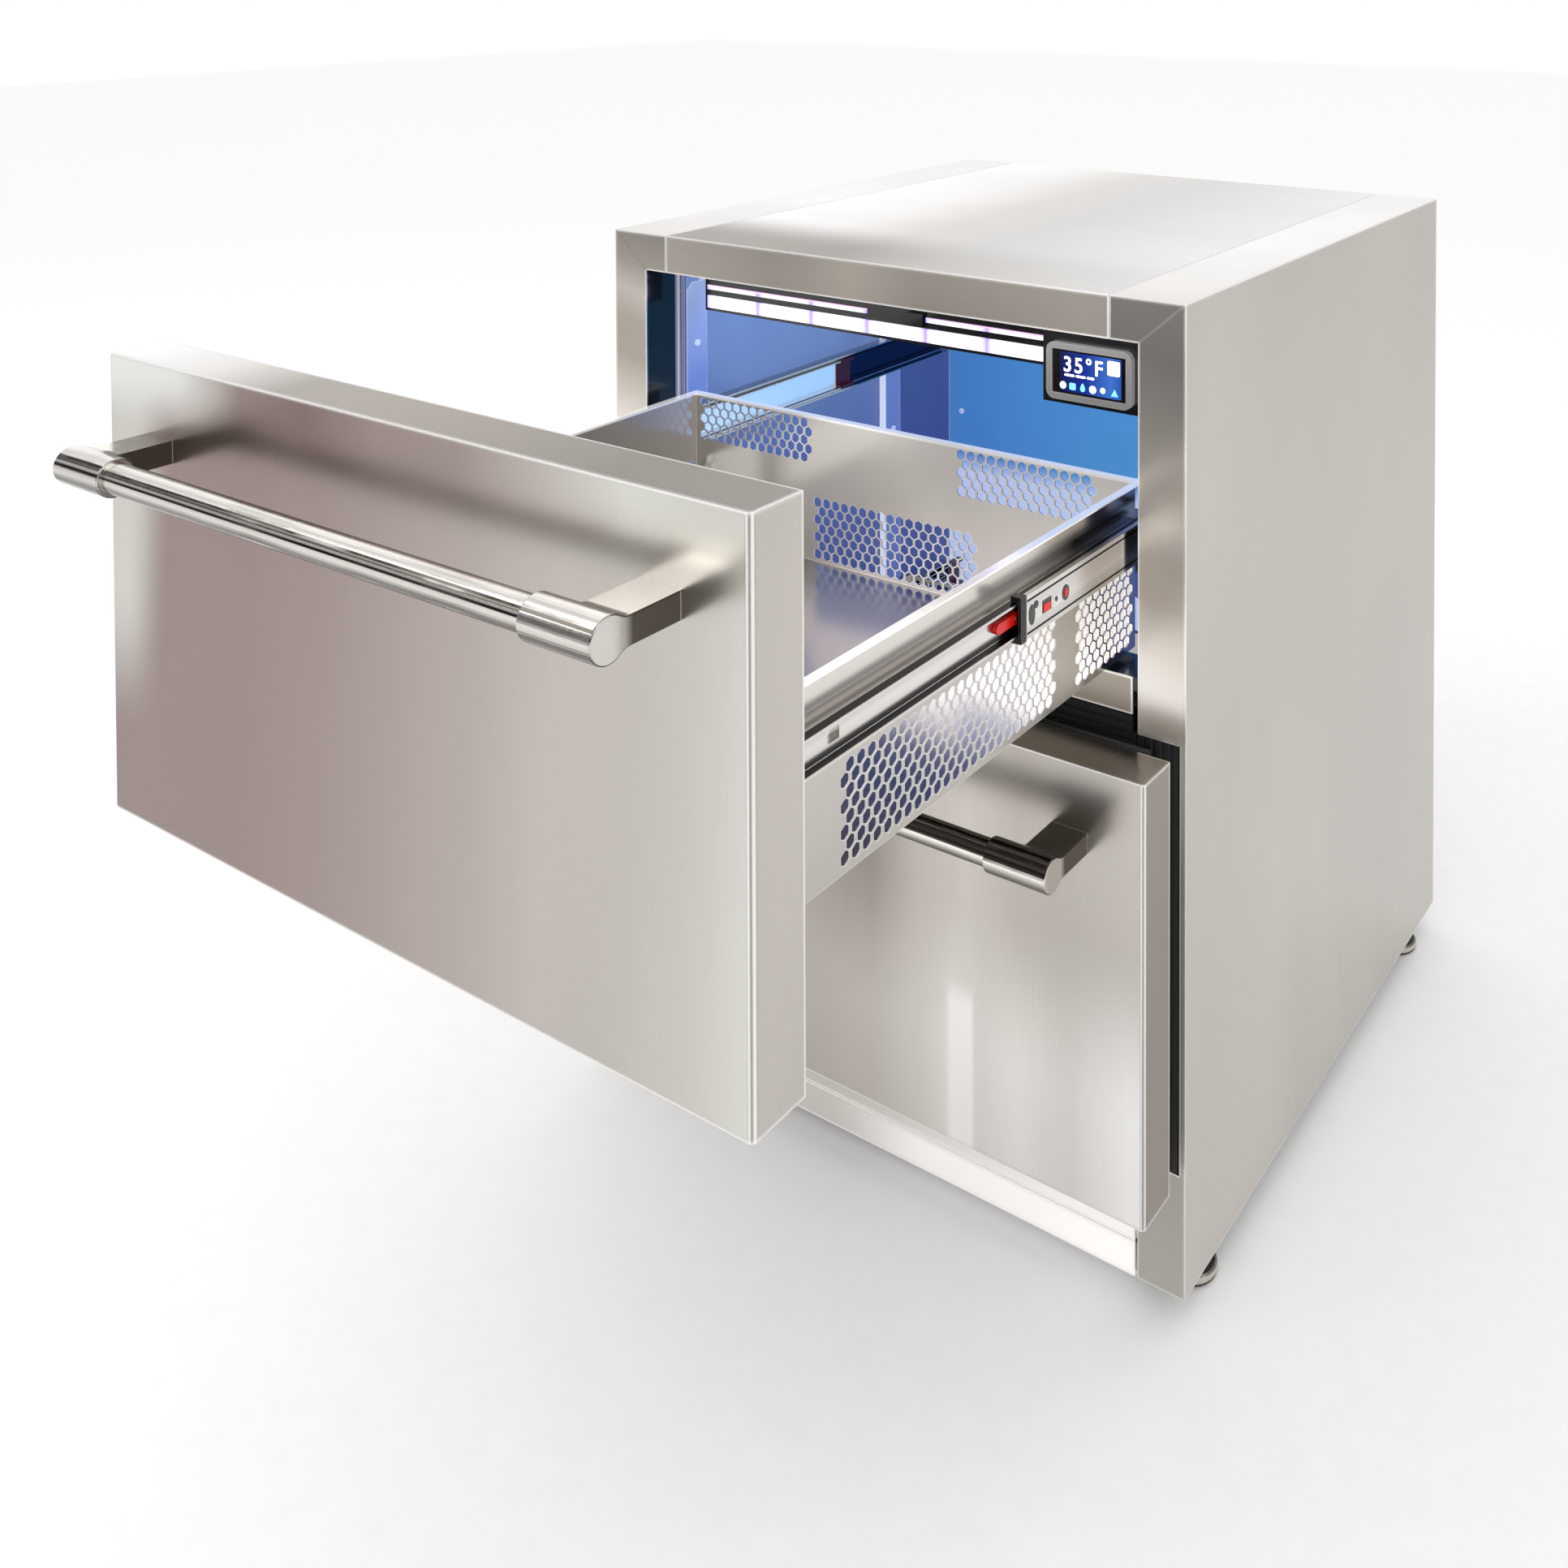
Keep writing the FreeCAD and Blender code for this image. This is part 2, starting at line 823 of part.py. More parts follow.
def evaporator():
    """Finned block behind the fan cover."""
    body = extruded("evaporator_coil", "XZ_Plane", rectangle((-200, 200), (560, 790)), 38,
                    -(d.cover_front + 6), backwards=True)
    slots = new_sketch(body, "evaporator_slots", "XZ_Plane", -(d.cover_front + 6))
    add_loop(slots, rectangle((-192, -186), (566, 784)))
    slot = pocket(body, slots, 30)
    fins = body.newObject("PartDesign::LinearPattern", "evaporator_fins")
    fins.Originals = [slot]
    fins.Direction = (slots, ["H_Axis"])
    fins.Length = 378
    fins.Occurrences = 28
    body.Tip = fins
    node(body, "evaporator_coil")


def fan_rotor(label, x, y, z):
    """Hub with five pitched blades that turns about Y."""
    body = new_body(label)
    hub = new_sketch(body, label + "_hub", "XZ_Plane")
    add_circle(hub, 0, 0, d.fan_hub)
    pad(body, hub, 14, symmetric=True)
    blade = new_sketch(body, label + "_blade", "YZ_Plane", d.fan_hub - 3)
    add_loop(blade, [(-6, -13), (-4, -13), (6, 13), (4, 13)])
    doc.recompute()
    paddle = pad(body, blade, d.fan_radius - d.fan_hub + 3)
    doc.recompute()
    blades = body.newObject("PartDesign::PolarPattern", label + "_blades")
    blades.Originals = [paddle]
    blades.Axis = (hub, ["N_Axis"])
    blades.Angle = 360
    blades.Occurrences = 5
    body.Tip = blades
    move(body, x, y, z)
    node(body, label)


def fan_shroud(label, x, y, z):
    """Square plate with a round mouth in front of a fan, and the motor arm across it."""
    reach = d.fan_radius + 12
    plate = box(label + "_plate", (x - reach, x + reach), (y - 1, y + 1), (z - reach, z + reach))
    mouth = cylinder(label + "_mouth", "Y", (x, y - 5, z), d.fan_radius + 4, 10)
    return cut(label, plate, mouth)


def fan_motor(label, x, y, z):
    """Round motor with its cross arm."""
    can = cylinder(label + "_can", "Y", (x, y, z), 20, 16)
    arm = box(label + "_arm", (x - d.fan_radius - 8, x + d.fan_radius + 8), (y + 4, y + 7), (z - 6, z + 6))
    return fuse(label, can, arm)


def fan_motors():
    """The motors of both fans."""
    evaporator_motor = fan_motor("evaporator_motor", 0, d.cover_front + 25, 410)
    condenser_motor = fan_motor("condenser_motor", d.condenser_x, 497, 112)
    node(group("fan_motors", evaporator_motor, condenser_motor), "fan_motors")


# ---------------------------------------------------------------- light bar and display


def light_bar():
    """Housing under the ceiling with a thick lower row and a thin upper row of lit windows."""
    edge = d.light_half + 4
    housing = box("light_case", (-edge, edge), (d.light_front, d.light_back),
                  (d.light_bottom, d.liner_top - 0.5))
    clip = box("light_clip", (16, 34), (d.light_front - 4, d.light_front), (809, 822))
    node(group("light_housing", housing, clip), "light_housing")
    windows = []
    for number in range(7):
        left = number * d.light_pitch - d.light_half
        x = (left + d.light_gap / 2, left + d.light_pitch - d.light_gap / 2)
        lower_z = (d.lower_row_bottom, d.lower_row_bottom + d.lower_row_height)
        upper_z = (d.upper_row_bottom, d.upper_row_bottom + d.upper_row_height)
        y = (d.light_front - 2, d.light_front)
        windows.append(box(f"lower_window_{number}", x, y, lower_z))
        if number != 3:
            windows.append(box(f"upper_window_{number}", x, y, upper_z))
    node(group("light_windows", *windows), "light_windows")


def display():
    """Control display: black housing in the corner, silver bezel and a lit screen."""
    housing = box("display_housing", (d.housing_left, opening_half - 0.3),
                  (d.clearance * 11, d.housing_back), (d.housing_bottom, opening_top - 0.2))
    node(housing, "display_housing")
    label = "display_bezel"
    outline = rectangle((d.bezel_left, d.bezel_right), (d.bezel_bottom, d.bezel_top))
    body = extruded(label, "XZ_Plane", outline, d.bezel_front + 2, -2)
    round_edges(body, d.bezel_corner, runs_along_y)
    rim = d.bezel_rim
    window = new_sketch(body, label + "_window", "XZ_Plane", d.bezel_front)
    glass_x = (d.bezel_left + rim, d.bezel_right - rim)
    glass_z = (d.bezel_bottom + rim, d.bezel_top - rim)
    add_loop(window, rectangle(glass_x, glass_z))
    pocket(body, window, 10)
    node(body, label)
    gap = d.clearance / 2
    screen = box("display_screen", (glass_x[0] + gap, glass_x[1] - gap), (-2.5, 2),
                 (glass_z[0] + gap, glass_z[1] - gap))
    node(screen, "display_screen")


def runs_along_y(edge):
    direction = edge.tangentAt(edge.FirstParameter)
    return abs(direction.y) > 0.99


# ---------------------------------------------------------------- machine bay


def compressor():
    """Welded steel shell on a plate with rubber mounts."""
    body = new_body("compressor_shell")
    profile = new_sketch(body, "compressor_profile", "XZ_Plane")
    radius = d.compressor_radius
    outline = [
        (0, 0),
        (radius - 22, 0),
        (radius - 6, 12),
        (radius, 30),
        (radius, 92),
        (radius - 5, 112),
        (radius - 20, 130),
        (radius - 42, 140),
        (0, 142),
    ]
    add_loop(profile, outline)
    revolve(body, profile)
    move(body, d.compressor_x, d.compressor_y, 50)
    reach = d.compressor_radius + 4
    x = (d.compressor_x - reach, d.compressor_x + reach)
    y = (d.compressor_y - reach, d.compressor_y + reach)
    plate = box("compressor_plate", x, y, (46.5, 49.8))
    node(group("compressor", body, plate), "compressor")
    mounts = []
    for side in (-1, 1):
        for end in (-1, 1):
            start = (d.compressor_x + side * 55, d.compressor_y + end * 55, 29.1)
            mounts.append(cylinder(f"mount_{side + 1}_{end + 1}", "Z", start, 10, 17.2))
    node(group("compressor_mounts", *mounts), "compressor_mounts")


def condenser():
    """Finned block that sheds the heat, with the fan in front of it."""
    left = d.condenser_x - 72
    right = d.condenser_x + 72
    body = extruded("condenser_coil", "XZ_Plane", rectangle((left, right), (34, 190)), 40, -545,
                    backwards=True)
    slots = new_sketch(body, "condenser_slots", "XZ_Plane", -545)
    add_loop(slots, rectangle((left + 4, left + 8), (38, 186)))
    slot = pocket(body, slots, 34)
    fins = body.newObject("PartDesign::LinearPattern", "condenser_fins")
    fins.Originals = [slot]
    fins.Direction = (slots, ["H_Axis"])
    fins.Length = 132
    fins.Occurrences = 18
    body.Tip = fins
    shroud = fan_shroud("condenser_shroud", d.condenser_x, 525, 112)
    node(group("condenser", body, shroud), "condenser")


def refrigerant_pipes():
    """Copper pipe from the compressor over to the condenser, and the filter drier with its pipes."""
    body = new_body("discharge_pipe")
    path = new_sketch(body, "pipe_path", "XZ_Plane", -d.compressor_y)
    start = FreeCAD.Vector(d.compressor_x.value, 192.3, 0)
    corner = FreeCAD.Vector(d.compressor_x.value, 201, 0)
    far = FreeCAD.Vector(d.condenser_x.value, 201, 0)
    end = FreeCAD.Vector(d.condenser_x.value, 190.2, 0)
    for here, there in ((start, corner), (corner, far), (far, end)):
        path.addGeometry(Part.LineSegment(here, there), False)
    path.addConstraint(Sketcher.Constraint("Coincident", 0, 2, 1, 1))
    path.addConstraint(Sketcher.Constraint("Coincident", 1, 2, 2, 1))
    pin_point(path, 0, 1, d.compressor_x, 192.3)
    pin_point(path, 1, 1, d.compressor_x, 201)
    pin_point(path, 2, 1, d.condenser_x, 201)
    pin_point(path, 2, 2, d.condenser_x, 190.2)
    ring = new_sketch(body, "pipe_ring", "XY_Plane", 192.3)
    add_circle(ring, d.compressor_x, d.compressor_y, d.pipe_radius)
    doc.recompute()
    tube = body.newObject("PartDesign::AdditivePipe", "pipe_sweep")
    tube.Profile = ring
    tube.Spine = path
    tube.Transition = "Round corner"
    can = cylinder("drier_can", "X", (-110, 615, 70), 11, 90)
    inlet = cylinder("drier_inlet", "X", (-167, 615, 70), d.pipe_radius, 57)
    outlet = cylinder("drier_outlet", "X", (-20, 615, 70), d.pipe_radius, 60)
    drier = fuse("filter_drier", can, inlet, outlet)
    node(group("refrigerant_pipes", body, drier), "refrigerant_pipes")


def drain_pan():
    """Open tray that catches and evaporates the meltwater."""
    outer = box("pan_outer", (-150, 85), (485, 600), (29.2, 46))
    inner = box("pan_inner", (-148, 83), (487, 598), (31, 47))
    node(cut("drain_pan", outer, inner), "drain_pan")


def control_box():
    """Plastic case of the control board, on the bay's wall."""
    body = extruded("control_box", "XZ_Plane", rectangle((-90, 20), (90, 180)), 45, -485, backwards=True)
    round_edges(body, 4, runs_along_y)
    node(body, "control_box")


def power_cord():
    """Mains lead, coiled and tied inside the rear cover."""
    coil = doc.addObject("Part::Torus", "power_cord")
    coil.Placement = FreeCAD.Placement(FreeCAD.Vector(), TURNS["Y"])
    bind(coil, "Radius1", 42)
    bind(coil, "Radius2", 4.5)
    move(coil, 30, 638, 130)
    node(coil, "power_cord")


# ---------------------------------------------------------------- drawers


class Drawer:
    """What differs between the two drawers."""

    def __init__(self, name, shift, front, gasket, slide_height, basket, basket_back, near_columns):
        self.name = name
        self.shift = shift
        self.front = front
        self.gasket = gasket
        self.slide_height = slide_height
        self.basket = basket
        self.near_columns = near_columns
        self.back = basket_back + shift
        self.front_back = shift - d.front_standoff
        self.front_face = shift - d.front_standoff - d.front_thickness
        self.middle_shift = shift / 2


def drawer_front(drawer):
    """Folded steel pan with rounded vertical edges, its foam core and its inner plate."""
    label = drawer.name + "_front"
    width = (-d.front_half, d.front_half)
    skin = d.front_skin
    body = extruded(label, "XZ_Plane", rectangle(width, drawer.front), d.front_thickness,
                    -drawer.front_back)
    face = drawer.front_face.value

    def outer_vertical(edge):
        upright = abs(edge.tangentAt(edge.FirstParameter).z) > 0.99
        return upright and abs(edge.BoundBox.Center.y - face) < 0.01

    round_edges(body, d.front_corner, outer_vertical)
    hollow = new_sketch(body, label + "_hollow", "XZ_Plane", -drawer.front_back)
    inner_x = (width[0] + skin, width[1] - skin)
    inner_z = (drawer.front[0] + skin, drawer.front[1] - skin)
    add_loop(hollow, rectangle(inner_x, inner_z))
    pocket(body, hollow, d.front_thickness - skin * 1.5, backwards=True)
    node(body, label)
    gap = 0.1
    plate_x = (inner_x[0] + gap, inner_x[1] - gap)
    plate_z = (inner_z[0] + gap, inner_z[1] - gap)
    plate_y = (drawer.front_back - skin, drawer.front_back)
    node(box(label + "_plate", plate_x, plate_y, plate_z), label + "_plate")
    core_x = (plate_x[0] + 1, plate_x[1] - 1)
    core_z = (plate_z[0] + 1, plate_z[1] - 1)
    core_y = (drawer.front_face + skin * 2, plate_y[0] - gap)
    node(box(label + "_core", core_x, core_y, core_z), label + "_core")


def drawer_gasket(drawer):
    """Rubber seal behind the front."""
    label = drawer.name + "_gasket"
    x = (-d.gasket_half, d.gasket_half)
    y = (drawer.front_back, drawer.front_back + d.gasket_depth)
    node(frame_ring(label, x, y, drawer.gasket, d.gasket_width), label)


def handle_bracket(drawer, axis_y, axis_z):
    """Cast bracket: a round ferrule on the bar and a flat arm to the front, necked between."""
    label = drawer.name + "_handle_bracket"
    body = new_body(label)
    arm = new_sketch(body, label + "_arm", "YZ_Plane", d.handle_half - d.arm_width)
    big = d.ferrule_radius
    neck = d.neck_radius
    rise = d.arm_half_height
    reach = math.sqrt((big.value + neck.value) ** 2 - (rise.value + neck.value) ** 2)
    swing = math.atan2(rise.value + neck.value, reach)
    up = FreeCAD.Vector(0, 0, 1)
    centre = FreeCAD.Vector(axis_y.value, axis_z.value, 0)
    top_centre = centre + FreeCAD.Vector(reach, rise.value + neck.value, 0)
    low_centre = centre + FreeCAD.Vector(reach, -rise.value - neck.value, 0)
    turn = math.pi
    wide = Part.ArcOfCircle(Part.Circle(centre, up, big.value), swing, 2 * turn - swing)
    top = Part.ArcOfCircle(Part.Circle(top_centre, up, neck.value), turn + swing, 1.5 * turn)
    low = Part.ArcOfCircle(Part.Circle(low_centre, up, neck.value), turn / 2, turn - swing)
    wall = axis_y + d.handle_reach
    root_top = FreeCAD.Vector(wall.value, axis_z.value + rise.value, 0)
    root_low = FreeCAD.Vector(wall.value, axis_z.value - rise.value, 0)
    neck_top = centre + FreeCAD.Vector(reach, rise.value, 0)
    neck_low = centre + FreeCAD.Vector(reach, -rise.value, 0)
    edges = [
        wide,
        top,
        low,
        Part.LineSegment(neck_top, root_top),
        Part.LineSegment(root_top, root_low),
        Part.LineSegment(root_low, neck_low),
    ]
    for edge in edges:
        arm.addGeometry(edge, False)
    pin_point(arm, 0, 3, axis_y, axis_z)
    for edge, radius in ((0, big), (1, neck), (2, neck)):
        number = arm.addConstraint(Sketcher.Constraint("Radius", edge, radius.value))
        arm.renameConstraint(number, f"radius_{edge}")
        bind(arm, f"Constraints.radius_{edge}", radius)
    joins = [
        ("Tangent", 0, 1, 1, 1),
        ("Tangent", 0, 2, 2, 2),
        ("Tangent", 1, 2, 3, 1),
        ("Tangent", 2, 1, 5, 2),
        ("Coincident", 3, 2, 4, 1),
        ("Coincident", 4, 2, 5, 1),
    ]
    for join in joins:
        arm.addConstraint(Sketcher.Constraint(*join))
    pin_point(arm, 4, 1, wall, axis_z + rise)
    pin_point(arm, 4, 2, wall, axis_z - rise)
    arm.addConstraint(Sketcher.Constraint("Horizontal", 3))
    arm.addConstraint(Sketcher.Constraint("Horizontal", 5))
    pad(body, arm, d.arm_width)
    collar = new_sketch(body, label + "_collar", "YZ_Plane", d.handle_half - d.ferrule_length)
    add_circle(collar, axis_y, axis_z, big)
    pad(body, collar, d.ferrule_length - d.arm_width / 2)
    outer = d.handle_half.value
    inner = outer - d.ferrule_length.value

    def rim(edge):
        flat = edge.BoundBox.XLength < 0.01
        at_end = abs(edge.BoundBox.XMin - outer) < 0.01 or abs(edge.BoundBox.XMin - inner) < 0.01
        off_wall = edge.BoundBox.YMax < wall.value - 0.01
        return flat and at_end and off_wall

    round_edges(body, 1.2, rim)
    return body


def handle(drawer):
    """Round bar between two brackets."""
    axis_y = drawer.front_face - d.handle_reach
    axis_z = drawer.front[1] - d.handle_drop
    pair(drawer.name + "_handle_brackets", handle_bracket(drawer, axis_y, axis_z))
    bar_half = d.handle_half - d.ferrule_length
    start = (-bar_half, axis_y, axis_z)
    label = drawer.name + "_handle_bar"
    node(cylinder(label, "X", start, d.bar_radius, bar_half * 2), label)


def hexagon(u, v):
    """Wire of one pointed-top hexagonal hole in the plate's own plane."""
    corners = []
    for number in range(7):
        angle = math.radians(30 + 60 * number)
        corner = FreeCAD.Vector(u + d.hex_radius.value * math.cos(angle),
                                v + d.hex_radius.value * math.sin(angle), 0)
        corners.append(corner)
    corners[6] = corners[0]
    return Part.makePolygon(corners)


def perforated_plate(name, width, height, patches, place):
    """Thin plate with patches of hexagonal holes: (first u, first v, columns, rows) each."""
    u0, u1 = (as_size(limit).value for limit in width)
    v0, v1 = (as_size(limit).value for limit in height)
    border = [FreeCAD.Vector(u, v, 0) for u, v in ((u0, v0), (u1, v0), (u1, v1), (u0, v1), (u0, v0))]
    wires = [Part.makePolygon(border)]
    for first_u, first_v, columns, rows in patches:
        for line in range(rows):
            lean = (line % 2) * d.hex_pitch.value / 2
            for column in range(columns):
                u = first_u + lean + column * d.hex_pitch.value
                wires.append(hexagon(u, first_v + line * d.hex_row.value))
    face = Part.makeFace(wires, "Part::FaceMakerBullseye")
    plate = doc.addObject("Part::Feature", name)
    plate.Shape = face.extrude(FreeCAD.Vector(0, 0, d.basket_sheet.value))
    plate.Placement = place
    return plate


def basket(drawer):
    """Perforated walls, plain floor and a folded rim."""
    skin = d.basket_sheet
    bottom, top = drawer.basket
    front = drawer.front_back + 0.2
    back = drawer.back
    wall_x = d.basket_half
    along_y = FreeCAD.Rotation(FreeCAD.Vector(0, 1, 0), FreeCAD.Vector(0, 0, 1),
                               FreeCAD.Vector(1, 0, 0), "XYZ")
    along_x = FreeCAD.Rotation(FreeCAD.Vector(1, 0, 0), FreeCAD.Vector(0, 0, 1),
                               FreeCAD.Vector(0, -1, 0), "XYZ")
    first_row = bottom.value + 10
    side_rows = 8
    near_patch_start = front.value + 117
    far_patch_start = back.value - 97
    side_patches = [
        (near_patch_start, first_row, drawer.near_columns, side_rows),
        (far_patch_start, first_row, 8, side_rows),
    ]
    high_row = top.value - 42
    back_patches = [
        (-99, bottom.value + 9, 17, 7),
        (-256, high_row, 13, 5),
        (79, high_row, 13, 5),
    ]
    label = drawer.name + "_basket"
    wall_height = (bottom, top)
    walls = []
    for side, x in (("right", wall_x.value - skin.value), ("left", -wall_x.value)):
        place = FreeCAD.Placement(FreeCAD.Vector(x, 0, 0), along_y)
        wall_name = f"{label}_{side}"
        walls.append(perforated_plate(wall_name, (front, back), wall_height, side_patches, place))
    between = wall_x - skin - 0.05
    place = FreeCAD.Placement(FreeCAD.Vector(0, back.value, 0), along_x)
    walls.append(perforated_plate(label + "_back", (-between, between), wall_height, back_patches, place))
    walls.append(box(label + "_near", (-between, between), (front, front + skin), wall_height))
    floor_edge = between - 0.05
    floor = box(label + "_floor", (-floor_edge, floor_edge), (front + skin + 0.05, back - skin - 0.05),
                (bottom, bottom + skin))
    edge = wall_x + d.basket_rim
    inside = wall_x - skin
    flange_z = (top, top + skin)
    right_flange = box(label + "_right_flange", (inside, edge), (front, back + d.basket_rim), flange_z)
    left_flange = mirrored(label + "_left_flange", right_flange)
    back_flange = box(label + "_back_flange", (-inside, inside), (back - skin, back + d.basket_rim), flange_z)
    node(group(label, floor, right_flange, left_flange, back_flange, *walls), label)


def cabinet_member(drawer):
    """Slide member fixed to the posts."""
    outer = d.post_face - 0.1
    outline = channel(d.cabinet_member_inner, outer - d.slide_sheet, outer, drawer.slide_height,
                      d.cabinet_member_half, d.slide_sheet)
    name = drawer.name + "_cabinet_member"
    return runner(name, outline, d.slide_front, d.slide_front + d.slide_length + 3)


def middle_member(drawer):
    """Slide member that runs between the cabinet's and the drawer's, at half the travel."""
    outline = channel(d.middle_member_inner, d.middle_member_outer - d.slide_sheet,
                      d.middle_member_outer, drawer.slide_height, d.middle_member_half, d.slide_sheet)
    front = d.slide_front + drawer.middle_shift + 4
    name = drawer.name + "_middle_member"
    member = runner(name, outline, front, front + d.slide_length)
    pair(drawer.name + "_middle_slides", member)


def clear_channel(drawer, outer_half):
    """Outline of a plastic block that hugs the middle member and lets the drawer member through."""
    inner = d.middle_member_inner
    web = d.drawer_member_outer + 0.6
    outer = d.middle_member_outer
    thickness = outer_half - d.drawer_member_half - 0.6
    return channel(inner, web, outer, drawer.slide_height, outer_half, thickness)


def slide_ends(drawer):
    """Plastic blocks on the ends of each middle member: a bumper in front and a catch behind."""
    front = d.slide_front + drawer.middle_shift + 4
    outline = clear_channel(drawer, d.middle_member_half + 1)
    bumper = runner(drawer.name + "_bumper", outline, front - d.bumper_length, front - 0.1)
    rear = front + d.slide_length
    outline = clear_channel(drawer, d.middle_member_half)
    catch = runner(drawer.name + "_catch", outline, rear + 0.1, rear + d.catch_length)
    label = drawer.name + "_slide_ends"
    pair(label, group(drawer.name + "_right_ends", bumper, catch))


def drawer_member(drawer):
    """Slide member on the basket's side, with its spacer, a square hole and the lever's pin."""
    centre = drawer.slide_height
    tall = d.drawer_member_half
    small = d.drawer_spacer_half
    skin = d.slide_sheet
    web = d.drawer_member_web
    outer = d.drawer_member_outer
    wall = d.basket_half + 0.1
    outline = [
        (web, centre + tall),
        (outer, centre + tall),
        (outer, centre + tall - skin),
        (web + skin, centre + tall - skin),
        (web + skin, centre - tall + skin),
        (outer, centre - tall + skin),
        (outer, centre - tall),
        (web, centre - tall),
        (web, centre - small),
        (wall, centre - small),
        (wall, centre + small),
        (web, centre + small),
    ]
    name = drawer.name + "_drawer_member"
    front = drawer.front_back + 0.3
    rail = runner(name, outline, front, d.drawer_member_back + drawer.shift)
    hole = box(name + "_hole", (web - 3, web + skin + 1), (front + 88, front + 100),
               (centre - 4.5, centre + 4.5))
    pivot_y, pivot_z = lever_place(drawer)
    pin = cylinder(name + "_pin", "X", (web, pivot_y, pivot_z), 2, skin + 5.4)
    with_pin = fuse(name + "_with_pin", cut(name + "_cut", rail, hole), pin)
    pair(drawer.name + "_drawer_slides", with_pin)


def lever_place(drawer):
    """Pivot of a release lever: Y and Z."""
    return d.slide_front + d.drawer_travel / 2 + drawer.shift, drawer.slide_height


def release_lever(drawer):
    """Red lever on the drawer member: a round hub with a short arm, free to rock on its pin."""
    pivot_y, pivot_z = lever_place(drawer)
    x0 = d.drawer_member_web + d.slide_sheet + 0.4
    reach = d.lever_reach
    tip_radius = d.lever_tip
    name = drawer.name + "_lever"
    hub = cylinder(name + "_hub", "X", (x0, pivot_y, pivot_z), 5, 4)
    tip = cylinder(name + "_tip", "X", (x0, pivot_y - reach, pivot_z), tip_radius, 4)
    arm = box(name + "_arm", (x0, x0 + 4), (pivot_y - reach, pivot_y),
              (pivot_z - tip_radius, pivot_z + tip_radius))
    bore = cylinder(name + "_bore", "X", (x0 - 1, pivot_y, pivot_z), 2.05, 6)
    lever = cut(name, fuse(name + "_body", hub, arm, tip), bore)
    pair(drawer.name + "_release_levers", lever)


def drawer_parts(drawer):
    """Everything that belongs to one drawer, with its slides."""
    drawer_front(drawer)
    drawer_gasket(drawer)
    handle(drawer)
    basket(drawer)
    middle_member(drawer)
    slide_ends(drawer)
    drawer_member(drawer)
    release_lever(drawer)


# ---------------------------------------------------------------- the whole refrigerator


def build():
    side_panel()
    top_panel()
    cross_rails()
    kick_plate()
    rear_panel()
    rear_grille()
    base_tray()
    for place in foot_places():
        levelling_foot(*place)
    inner_liner()
    foam_insulation()
    opening_breakers()
    lower_face_seal()
    jamb_trims()
    slide_posts()
    inside_screws()
    fan_cover()
    evaporator()
    fan_rotor("evaporator_fan", 0, d.cover_front + 17, 410)
    light_bar()
    display()
    compressor()
    condenser()
    fan_rotor("condenser_fan", d.condenser_x, 525, 112)
    fan_motors()
    refrigerant_pipes()
    drain_pan()
    control_box()
    power_cord()
    upper = Drawer("upper", -d.drawer_travel, (d.upper_front_bottom, d.upper_front_top),
                   (d.upper_gasket_bottom, d.upper_gasket_top), d.upper_slide_height,
                   (d.upper_basket_bottom, d.upper_basket_top), d.upper_basket_back, 23)
    lower = Drawer("lower", as_size(0), (d.lower_front_bottom, d.lower_front_top),
                   (d.lower_gasket_bottom, d.lower_gasket_top), d.lower_slide_height,
                   (d.lower_basket_bottom, d.lower_basket_top), d.lower_basket_back, 15)
    members = [cabinet_member(drawer) for drawer in (upper, lower)]
    pair("cabinet_slides", group("right_cabinet_members", *members))
    drawer_parts(upper)
    drawer_parts(lower)


def check_document():
    """Stop if any object failed or any sub-part has no sound solid."""
    doc.recompute()
    for item in doc.Objects:
        for word in item.State:
            if word in ("Invalid", "Error"):
                raise RuntimeError(f"{item.Name} is {word}")
    for part in nodes:
        if part.Shape.isNull() or not part.Shape.isValid() or not part.Shape.Solids:
            raise RuntimeError(part.Label + " has no valid solid")


def write_parts():
    """One STEP file for each sub-part, named after it."""
    os.makedirs("parts", exist_ok=True)
    for part in nodes:
        part.Shape.exportStep(f"parts/{part.Label}.step")


build()
check_document()
write_parts()
print(len(nodes), "sub-parts written")
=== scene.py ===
"""Looks of the under-counter drawer refrigerator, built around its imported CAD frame."""
import math

